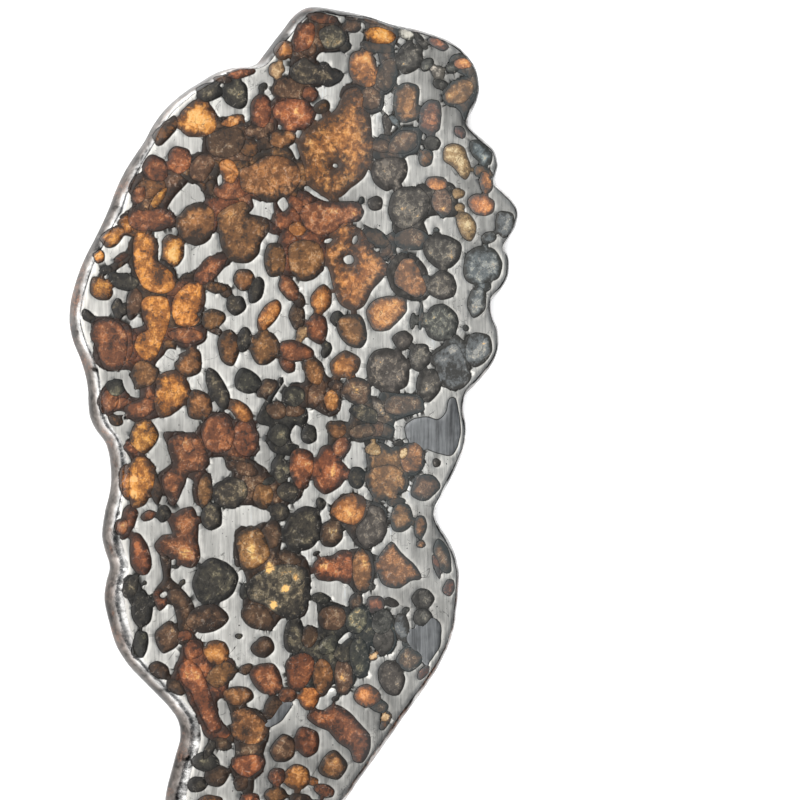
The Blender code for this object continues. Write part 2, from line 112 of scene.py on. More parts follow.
# Crystals too small for nodes of their own: middle x, middle y, half length, half width, turn in degrees.
GRAINS = {
    "gold": (
        (-4.6, 62.2, 1.5, 1.2, 40), (28.4, 43.2, 1.2, 0.9, 0), (28.7, 40.9, 0.9, 0.7, 20),
        (30.0, 37.8, 2.5, 1.6, 110), (12.8, 0.2, 1.4, 1.1, -10), (15.0, -44.4, 0.8, 0.6, 30),
        (-0.2, 19.3, 1.2, 0.9, 80), (12.7, -34.2, 0.7, 0.6, 0), (18.3, -0.5, 1.0, 0.7, 60),
    ),
    "amber": (
        (-25.0, 40.4, 2.3, 0.7, 52), (-32.4, 34.3, 2.1, 1.3, 48), (-12.1, 53.6, 2.1, 0.8, 18),
        (-3.2, 65.5, 1.8, 1.3, 45), (29.4, 65.1, 1.7, 0.9, 5), (24.4, 44.8, 2.0, 1.1, 0), (33.7, 45.2, 1.8, 1.2, 100),
        (-34.7, 31.0, 1.1, 0.8, 80), (-34.5, 25.9, 2.2, 1.6, -50), (-5.9, 22.3, 2.8, 1.4, 52),
        (-10.9, 6.7, 2.4, 1.3, -38), (-30.1, -4.6, 3.0, 1.0, 92), (-27.3, 2.6, 2.7, 2.2, 80),
        (3.4, 25.0, 2.3, 1.9, 90), (7.7, 14.2, 2.7, 2.1, 25), (1.2, -40.7, 1.8, 1.6, 0), (11.6, -40.7, 2.5, 1.8, -15),
        (-1.0, -53.2, 2.2, 2.0, -30), (1.7, -54.1, 1.1, 0.7, -20), (-14.8, -32.2, 2.1, 1.8, -40),
        (-16.4, -57.2, 2.4, 2.1, 10), (5.2, 8.4, 1.7, 1.3, 95), (-0.9, 36.3, 1.4, 1.2, 0),
        (-12.9, 45.4, 1.9, 1.5, -60), (-30.0, 36.5, 1.7, 1.4, 60),
    ),
    "rust": (
        (-21.3, 47.0, 2.2, 1.9, 90), (-25.4, 45.3, 2.1, 1.9, -30), (-7.4, 55.3, 2.6, 1.9, 80),
        (-10.8, 61.3, 2.5, 0.8, 12), (0.3, 67.9, 2.8, 1.7, 60), (1.3, 58.6, 1.4, 1.2, 0), (24.7, 68.2, 2.0, 0.9, -22),
        (-21.2, 26.5, 2.6, 0.9, 30), (-16.2, 29.5, 3.5, 1.5, 42), (-2.5, 26.7, 2.2, 1.5, -55),
        (2.7, 20.1, 2.5, 1.8, 90), (-1.3, 16.4, 2.9, 1.7, -10), (-2.7, 14.4, 1.7, 1.2, -55),
        (-22.7, 24.4, 1.9, 0.8, 90), (-31.0, 17.2, 3.2, 2.0, 90), (-29.4, 16.8, 2.4, 1.2, 80),
        (-28.0, 7.0, 2.9, 1.5, 15), (-33.1, 8.2, 2.0, 1.4, 80), (-31.0, 7.5, 2.0, 1.2, 0), (-10.0, 2.2, 3.1, 2.2, 95),
        (-29.2, 1.0, 1.3, 1.1, 0), (6.9, 0.6, 1.7, 1.5, 30), (-2.7, 38.2, 2.3, 1.8, -20), (-0.2, -2.6, 3.4, 2.2, 90),
        (24.5, -19.6, 1.9, 0.5, 105), (13.2, -25.3, 1.6, 1.2, -10), (-0.4, -35.8, 3.0, 2.4, 80),
        (0.8, -47.6, 2.5, 2.1, -50), (-4.4, -53.0, 1.5, 1.4, 0), (-6.3, -36.9, 3.0, 2.3, -40),
        (-19.0, -31.8, 1.6, 1.5, 0), (-28.0, -16.2, 3.4, 1.7, 100), (-31.0, -11.8, 1.3, 0.9, 80),
        (-26.6, -10.0, 1.3, 0.7, 20), (22.0, -37.2, 1.4, 0.7, 48), (3.8, -55.8, 1.8, 1.0, -20),
        (-2.6, -39.8, 1.5, 1.3, 0), (-9.6, -50.8, 2.8, 1.8, 0), (-12.4, 42.6, 3.0, 1.8, 8), (-9.2, 41.0, 1.9, 1.5, 0),
        (-1.5, 40.3, 2.2, 1.4, -20), (-5.4, -67.0, 2.6, 1.6, 12), (-9.2, -56.6, 1.7, 1.3, 0),
        (26.7, -23.2, 1.4, 1.1, 80), (-31.2, 30.9, 1.3, 0.5, 32), (3.6, 71.1, 2.6, 0.8, -4),
        (-20.4, -29.4, 1.2, 0.9, 0), (-20.3, 18.7, 3.0, 1.3, -6), (-24.6, -23.4, 1.7, 1.1, 100),
        (28.8, 53.5, 1.2, 0.9, -40), (-28.2, 40.9, 1.6, 1.0, 60),
    ),
    "brown": (
        (-23.6, 51.3, 2.8, 1.2, 52), (-26.4, 42.1, 2.9, 1.6, 28), (-28.6, 35.3, 1.8, 1.0, 0),
        (-9.4, 49.2, 1.5, 1.4, 0), (-3.4, 51.0, 2.4, 1.5, 10), (3.5, 56.6, 1.5, 1.1, 30), (22.4, 49.0, 1.6, 1.3, 70),
        (-15.2, 26.6, 2.1, 0.9, -5), (-10.2, 27.8, 1.9, 1.7, 0), (-12.9, 17.0, 2.9, 1.9, 92),
        (-15.6, 21.4, 2.0, 1.5, 18), (-27.5, 12.5, 2.5, 2.1, 35), (-19.6, 14.4, 2.4, 2.1, 20),
        (-18.0, 7.6, 2.4, 2.2, 90), (-17.0, -6.2, 2.7, 1.2, 86), (-6.9, -7.2, 2.0, 1.8, 90),
        (2.0, 13.2, 2.3, 1.7, -60), (-4.8, 31.2, 2.8, 2.0, 95), (19.8, -1.4, 2.6, 2.3, 90),
        (17.9, -11.2, 2.4, 2.0, 80), (10.7, -19.8, 3.5, 1.9, 95), (3.6, -37.0, 2.8, 1.8, 90),
        (5.5, -51.8, 2.5, 2.2, 0), (-14.2, -36.0, 2.6, 1.8, 35), (-0.5, 45.4, 2.4, 1.6, 85),
        (-2.7, 42.6, 2.1, 1.9, 0), (2.4, -59.2, 2.4, 2.0, 20), (-12.2, -67.4, 2.3, 1.5, -10),
        (-17.8, 42.6, 1.0, 0.8, 0), (-23.0, 17.0, 1.2, 1.0, 0), (16.9, -8.6, 1.6, 0.7, 10),
        (-11.2, -39.4, 2.5, 1.5, -5), (21.4, -12.9, 1.9, 1.2, 85), (21.5, -15.7, 0.8, 0.6, 0),
        (-4.8, -55.9, 2.1, 1.3, 0), (33.0, 46.9, 1.8, 1.1, -20), (14.9, -45.0, 1.6, 0.7, 60), (6.2, 3.6, 1.8, 1.5, 0),
        (-32.0, 5.2, 1.3, 0.9, -10),
    ),
    "umber": (
        (-17.6, 45.7, 2.5, 1.9, 55), (-15.2, 52.9, 1.5, 0.7, -10), (-7.6, 52.3, 2.8, 1.2, 12),
        (-13.8, 60.2, 1.4, 0.7, 0), (-2.0, 59.4, 3.3, 1.7, 5), (1.0, 66.1, 1.6, 1.2, 0), (8.8, 70.0, 1.8, 0.8, 0),
        (12.4, 71.3, 1.6, 0.5, -8), (13.6, 66.9, 3.0, 0.9, -4), (15.2, 62.4, 2.9, 1.7, 70), (12.3, 58.4, 2.0, 1.8, 0),
        (31.4, 62.0, 1.6, 0.8, 80), (18.4, 51.4, 3.1, 1.8, 20), (14.2, 50.6, 1.7, 1.2, 0), (25.4, 41.7, 2.4, 1.8, 95),
        (19.8, 35.2, 3.2, 1.8, 4), (13.2, 35.3, 2.7, 1.2, -27), (15.0, 33.4, 1.5, 0.9, 60),
        (-31.9, 29.7, 3.0, 0.6, 32), (-28.9, 31.2, 3.0, 0.9, 92), (-29.0, 23.8, 2.6, 1.3, 82),
        (-20.0, 28.0, 1.4, 0.7, 20), (-13.5, 26.0, 1.2, 1.0, -40), (-0.6, 24.8, 1.3, 1.0, -60),
        (-1.0, 22.0, 2.0, 1.4, 100), (-15.6, 19.8, 1.7, 0.6, -22), (-6.3, 10.3, 2.1, 1.3, 35),
        (-4.6, 6.7, 1.8, 1.5, -30), (-1.4, 6.6, 1.9, 1.0, 0), (-10.4, -2.7, 2.7, 1.2, -16), (2.6, 9.4, 2.4, 1.5, 60),
        (5.8, 10.9, 1.2, 0.8, 0), (9.8, 9.8, 2.6, 2.1, 0), (10.8, 3.3, 2.4, 1.2, 8), (13.2, 3.6, 1.5, 1.3, 0),
        (15.0, 3.3, 1.5, 1.2, -20), (18.4, 7.5, 3.9, 1.8, 2), (22.5, 27.6, 1.8, 1.0, 100), (21.5, 22.3, 2.2, 0.4, 86),
        (22.3, -6.2, 2.6, 2.2, 20), (25.6, -18.0, 3.0, 1.3, 110), (9.6, -24.9, 1.4, 1.2, 60),
        (5.4, -27.4, 2.5, 2.1, 0), (1.2, -30.4, 1.9, 1.5, 80), (7.4, -37.3, 2.9, 1.7, 95),
        (13.5, -42.3, 1.9, 1.1, -20), (-3.4, -48.6, 2.3, 2.1, 60), (-9.9, -35.2, 1.2, 0.8, 20),
        (-6.9, -31.8, 2.0, 1.7, 0), (-7.8, -27.0, 3.0, 1.9, -40), (-2.2, -17.4, 2.3, 1.0, -22),
        (-5.6, -13.6, 2.3, 1.9, 80), (-16.6, -26.9, 3.5, 2.2, 8), (-23.3, -29.5, 2.4, 2.1, 70),
        (-21.5, -23.4, 2.0, 1.4, -35), (-24.6, -34.8, 1.9, 1.2, -30), (-21.9, -37.6, 1.6, 1.0, -38),
        (-15.0, -52.2, 2.1, 1.6, 0), (-14.2, -47.0, 1.7, 0.9, -20), (-5.2, -41.6, 2.0, 1.5, 60),
        (-15.0, 42.7, 2.3, 1.4, 10), (-6.2, 50.2, 2.4, 1.0, 15), (-1.8, -64.8, 2.2, 1.8, 30),
        (-19.2, -60.6, 2.0, 1.5, 90), (-0.4, -56.8, 2.0, 0.8, -6), (-10.8, -53.6, 1.2, 1.4, 0),
        (19.3, -31.9, 1.3, 0.8, 0), (-25.5, -5.2, 2.8, 0.9, 100), (-20.8, 34.4, 0.8, 0.6, 0),
        (19.2, -34.9, 2.4, 1.9, -10), (5.2, -13.6, 2.3, 2.0, 60), (30.8, 64.2, 2.2, 1.1, 110),
        (31.0, 60.7, 1.5, 0.7, 75),
    ),
    "dark": (
        (-11.6, 57.8, 2.4, 2.2, 0), (-16.2, 58.0, 2.2, 1.4, 10), (-6.9, 59.3, 0.8, 0.6, 30), (5.4, 68.2, 2.3, 2.1, 0),
        (7.6, 66.7, 1.1, 0.9, 30), (22.6, 64.6, 1.4, 0.9, 40), (25.0, 61.5, 1.4, 0.8, -10),
        (21.4, 68.5, 1.8, 0.6, -48), (27.6, 64.5, 1.3, 0.9, 20), (23.5, 51.4, 1.6, 1.2, 0),
        (15.2, 54.4, 1.6, 0.8, 100), (13.2, 41.0, 1.4, 1.2, 0), (10.6, 41.4, 0.6, 0.5, 80),
        (-30.6, 27.2, 2.4, 1.5, -15), (-31.6, 22.8, 1.6, 1.0, 100), (-8.1, 26.2, 2.1, 1.3, 70),
        (-11.6, 23.7, 1.6, 1.5, 0), (-10.2, 18.2, 2.0, 1.3, 80), (-31.9, 10.3, 1.7, 1.2, 0),
        (-14.8, 10.2, 3.3, 1.5, 115), (-9.7, 11.4, 2.4, 1.9, -25), (-1.4, 9.1, 1.9, 1.7, 0), (-4.0, 2.7, 1.9, 1.8, 0),
        (1.2, 2.8, 1.5, 1.5, 0), (-3.9, -3.0, 2.1, 1.6, 95), (-2.6, -6.7, 1.9, 1.6, -30), (-4.0, -9.8, 1.6, 1.3, -20),
        (-5.8, -4.8, 1.2, 0.6, 20), (4.3, 16.6, 1.4, 0.8, 65), (11.2, 6.1, 2.6, 1.4, -20), (13.7, 7.2, 2.0, 0.9, 115),
        (22.9, 11.0, 2.7, 2.1, 80), (21.3, 15.6, 2.2, 1.9, 80), (18.1, 18.3, 1.9, 1.6, 0), (25.3, 27.7, 2.7, 2.5, 0),
        (20.0, 21.6, 1.3, 0.5, 85), (29.9, 20.5, 0.5, 0.5, 0), (9.8, -4.4, 1.8, 1.6, 60), (17.3, 1.2, 1.0, 0.5, 0),
        (24.4, -2.1, 0.7, 0.7, 0), (9.8, -28.0, 2.3, 1.9, 60), (16.1, -25.3, 1.3, 0.7, -25),
        (18.8, -26.6, 0.6, 0.4, 0), (14.4, -28.4, 2.1, 1.8, 60), (14.6, -31.6, 2.3, 1.9, 80),
        (21.9, -24.9, 2.1, 1.6, 0), (7.9, -33.0, 2.3, 1.8, 20), (4.8, -31.8, 2.0, 1.4, 30),
        (-1.6, -30.0, 2.7, 1.7, 80), (3.4, -24.2, 1.8, 0.9, -10), (5.9, -40.8, 0.7, 0.4, 15),
        (-11.2, -29.8, 0.6, 0.4, 0), (-10.2, -22.6, 1.2, 0.8, 90), (-27.6, -24.9, 2.7, 1.8, 95),
        (-28.0, -30.4, 2.4, 1.2, 80), (-29.5, -21.2, 1.9, 1.2, 70), (-15.8, -10.3, 2.2, 1.9, 90),
        (-24.0, -9.8, 1.4, 1.2, 60), (-16.2, -47.8, 1.7, 0.8, 58), (-16.8, -49.7, 2.3, 1.5, 0),
        (-18.3, -53.4, 1.5, 1.2, 0), (-2.4, -60.4, 2.1, 2.0, 0), (-15.6, -63.2, 2.6, 2.2, 80),
        (3.3, -8.6, 0.8, 1.0, 20), (2.5, -16.8, 0.6, 0.3, 20), (-22.0, -18.3, 0.5, 0.3, 0),
        (-20.9, -20.9, 0.6, 0.4, 30), (-27.2, -20.7, 0.3, 0.3, 0), (6.3, 21.8, 1.3, 1.2, 0),
        (-33.6, 28.9, 1.0, 0.6, 20), (-36.6, 21.6, 1.3, 0.8, -40), (8.4, 36.0, 0.9, 0.8, 0),
        (12.5, -22.6, 0.6, 0.5, 0), (21.8, -28.0, 1.7, 1.5, 0), (17.0, 56.6, 0.9, 0.5, 40),
    ),
    "slate": (
        (32.8, 50.2, 2.7, 1.5, -38), (37.3, 38.4, 2.2, 1.9, 70), (34.2, 35.9, 1.5, 0.9, 20),
        (31.9, 24.9, 2.5, 1.7, 75), (18.0, -29.6, 2.4, 1.4, 100), (33.0, 27.4, 1.6, 1.0, 20),
        (24.4, 36.9, 0.5, 0.4, 0), (16.6, 55.0, 1.2, 0.8, -30),
    ),
    "pearl": ((18.8, 69.5, 1.4, 1.0, -15), (24.8, 63.4, 1.2, 1.1, 0)),
    "iron": (
        (8.3, 31.6, 1.1, 0.8, 0), (-24.6, 32.4, 1.9, 0.35, 86), (3.2, 41.7, 1.7, 0.35, -22),
        (-19.3, 41.4, 1.9, 1.2, 48), (5.9, 47.0, 0.5, 0.4, 0), (-33.2, 12.2, 1.1, 0.8, -10),
        (-30.0, 11.0, 0.9, 1.7, 20), (-22.7, 15.4, 1.3, 1.2, 60), (-30.7, 29.0, 1.3, 0.5, 10),
        (-31.4, 6.3, 1.0, 0.4, 0), (4.6, 34.6, 0.8, 0.4, 20), (9.4, 34.9, 0.9, 0.5, 65), (-24.0, -22.7, 0.7, 0.5, 20),
    ),
}

# Where small crystals overlap, the earlier tone's crystal is whole.
SMALL_PRIORITY = ("pearl", "gold", "amber", "dark", "slate", "rust", "brown", "umber")

TONES = {
    # rim colour, body colour, core colour, level, granule contrast, transmission, painted reflection veil
    "gold": ((0.09, 0.055, 0.03), (0.34, 0.205, 0.095), (0.72, 0.53, 0.31), 0.56, 1.2, 0.25, 0.3),
    "amber": ((0.035, 0.014, 0.005), (0.248, 0.081, 0.015), (0.61, 0.240, 0.056), 0.50, 1.1, 0.25, 1.0),
    "honey": ((0.028, 0.012, 0.005), (0.255, 0.088, 0.013), (0.66, 0.275, 0.045), 0.49, 1.3, 0.25, 0.0),
    "rust": ((0.022, 0.009, 0.005), (0.124, 0.038, 0.014), (0.345, 0.112, 0.036), 0.44, 1.0, 0.15, 1.0),
    "brown": ((0.016, 0.009, 0.005), (0.121, 0.050, 0.015), (0.325, 0.140, 0.043), 0.46, 0.9, 0.15, 0.8),
    "umber": ((0.013, 0.007, 0.004), (0.056, 0.028, 0.014), (0.147, 0.077, 0.041), 0.45, 0.9, 0.05, 0.8),
    "dark": ((0.007, 0.006, 0.005), (0.030, 0.026, 0.020), (0.112, 0.094, 0.060), 0.45, 0.9, 0.0, 0.5),
    # ash: dark olivine lightened and greyed by a painted reflection haze
    "ash": ((0.020, 0.018, 0.016), (0.058, 0.053, 0.048), (0.14, 0.130, 0.115), 0.47, 0.9, 0.0, 0.1),
    "slate": ((0.032, 0.032, 0.030), (0.110, 0.122, 0.130), (0.26, 0.27, 0.265), 0.46, 0.9, 0.0, 0.0),
    "pearl": ((0.05, 0.05, 0.045), (0.42, 0.41, 0.37), (0.66, 0.64, 0.57), 0.56, 0.7, 0.0, 0.0),
}
GLINT = (0.78, 0.46, 0.15, 1)  # the brightest places deep in a crystal
# tints of the painted glitter highlights and painted glints in the crystals
PAINTED_GLITTER_TINT = (1.0, 0.86, 0.60, 1)
PAINTED_GLINT_TINT = (1.0, 0.90, 0.72, 1)
CRYSTAL_TINTS = ((1.06, 0.96, 0.90, 1), (0.95, 1.02, 1.0, 1))  # each crystal lies between a warm and a cool one
VEIN_COLOR = (0.42, 0.38, 0.33, 1)
REFLECTION_VEIL = (0.036, 0.050, 0.054, 1)  # painted reflection: a grey veil over the crystals towards the right edge
REFLECTION_VEIL_FROM, REFLECTION_VEIL_TO = 1 * MM, 19 * MM
OLIVINE_IOR = 1.67

IRON_COLOR = (0.830, 0.805, 0.755)
TROILITE_COLOR = (0.30, 0.305, 0.31)
RIM_UPPER_TINT, RIM_LOWER_TINT = (1.0, 0.985, 0.96, 1), (1.0, 0.88, 0.80, 1)
RUST_DEEP, RUST_BRIGHT = (0.045, 0.022, 0.015, 1), (0.20, 0.085, 0.042, 1)
MOST_RIM_SHADE = 0.78

# Dark crystals near the right edge are greyer than their record's tone, a painted reflection haze, and amber ones at
# the left are yellower.
SHEEN_GREYED = {"dark": "ash"}
SHEEN_GREYED_FROM = 12.5
YELLOWER = {"amber": "honey"}
YELLOWER_TO = -15.0
OWN_LOOK = {"dark_crystal_8": "slate", "dark_crystal_11": "umber", "gold_crystal_2": "honey"}
DEEP_RIMS = {  # mm of dark rim on crystals where it is broad
    "amber_crystal_1": 1.5, "amber_crystal_4": 1.1, "amber_crystal_9": 1.4, "rust_crystal_1": 1.0,
    "rust_crystal_7": 1.3, "brown_crystal_13": 0.9, "brown_crystal_5": 0.9, "amber_crystal_12": 0.9,
    "dark_crystal_10": 0.9, "brown_crystal_11": 0.9,
}

# Metal that shows through the middle of crystals and masses, and dull patches in the metal.
ISLANDS = (
    ("iron", (
        (-17.0, 40.4), (-17.4, 42.0), (-19.6, 42.4), (-20.8, 41.4), (-22.2, 39.8), (-22.0, 38.8), (-19.4, 40.2),
    )),
    ("iron", ((-8.8, 41.1), (-6.6, 40.2), (-5.3, 38.9), (-5.8, 38.0), (-8.0, 38.3), (-9.3, 38.7), (-8.6, 39.8))),
    ("iron", ((-4.5, 40.5), (-3.2, 41.6), (-2.4, 40.0), (-3.4, 39.1))),
    ("iron", ((-14.9, 44.3), (-14.2, 44.9), (-13.9, 43.5), (-14.7, 42.9))),
    ("iron", ((6.8, 5.3), (8.2, 4.7), (8.5, 6.4), (7.1, 7.4))),
    ("iron", ((6.3, -31.4), (8.2, -29.8), (8.9, -30.5), (6.9, -31.9))),
    ("iron", ((0.2, -28.0), (1.5, -25.0), (2.7, -26.2), (2.5, -28.6))),
    ("iron", ((-14.6, -41.2), (-12.8, -42.0), (-12.3, -43.8), (-13.4, -44.2), (-14.6, -42.6))),
    ("troilite", (
        (18.6, 4.0), (20.2, 5.2), (22.6, 5.6), (24.8, 5.2), (26.2, 6.4), (26.8, 8.6), (27.9, 8.6), (28.6, 6.0),
        (28.9, 3.0), (28.4, 0.8), (27.2, -0.8), (25.0, -0.6), (22.4, 0.2), (20.6, 1.2), (18.9, 2.0),
    )),
    ("troilite", (
        (18.8, -31.4), (20.0, -29.8), (22.0, -29.4), (23.6, -28.2), (25.1, -29.2), (25.2, -31.0), (25.0, -33.0),
        (23.6, -34.8), (22.2, -36.0), (21.6, -34.2), (20.0, -33.2),
    )),
    ("troilite", (
        (-6.6, -44.4), (-5.6, -44.8), (-3.6, -43.8), (-1.8, -41.2), (-2.8, -40.9), (-4.0, -41.6), (-5.0, -43.0),
    )),
)

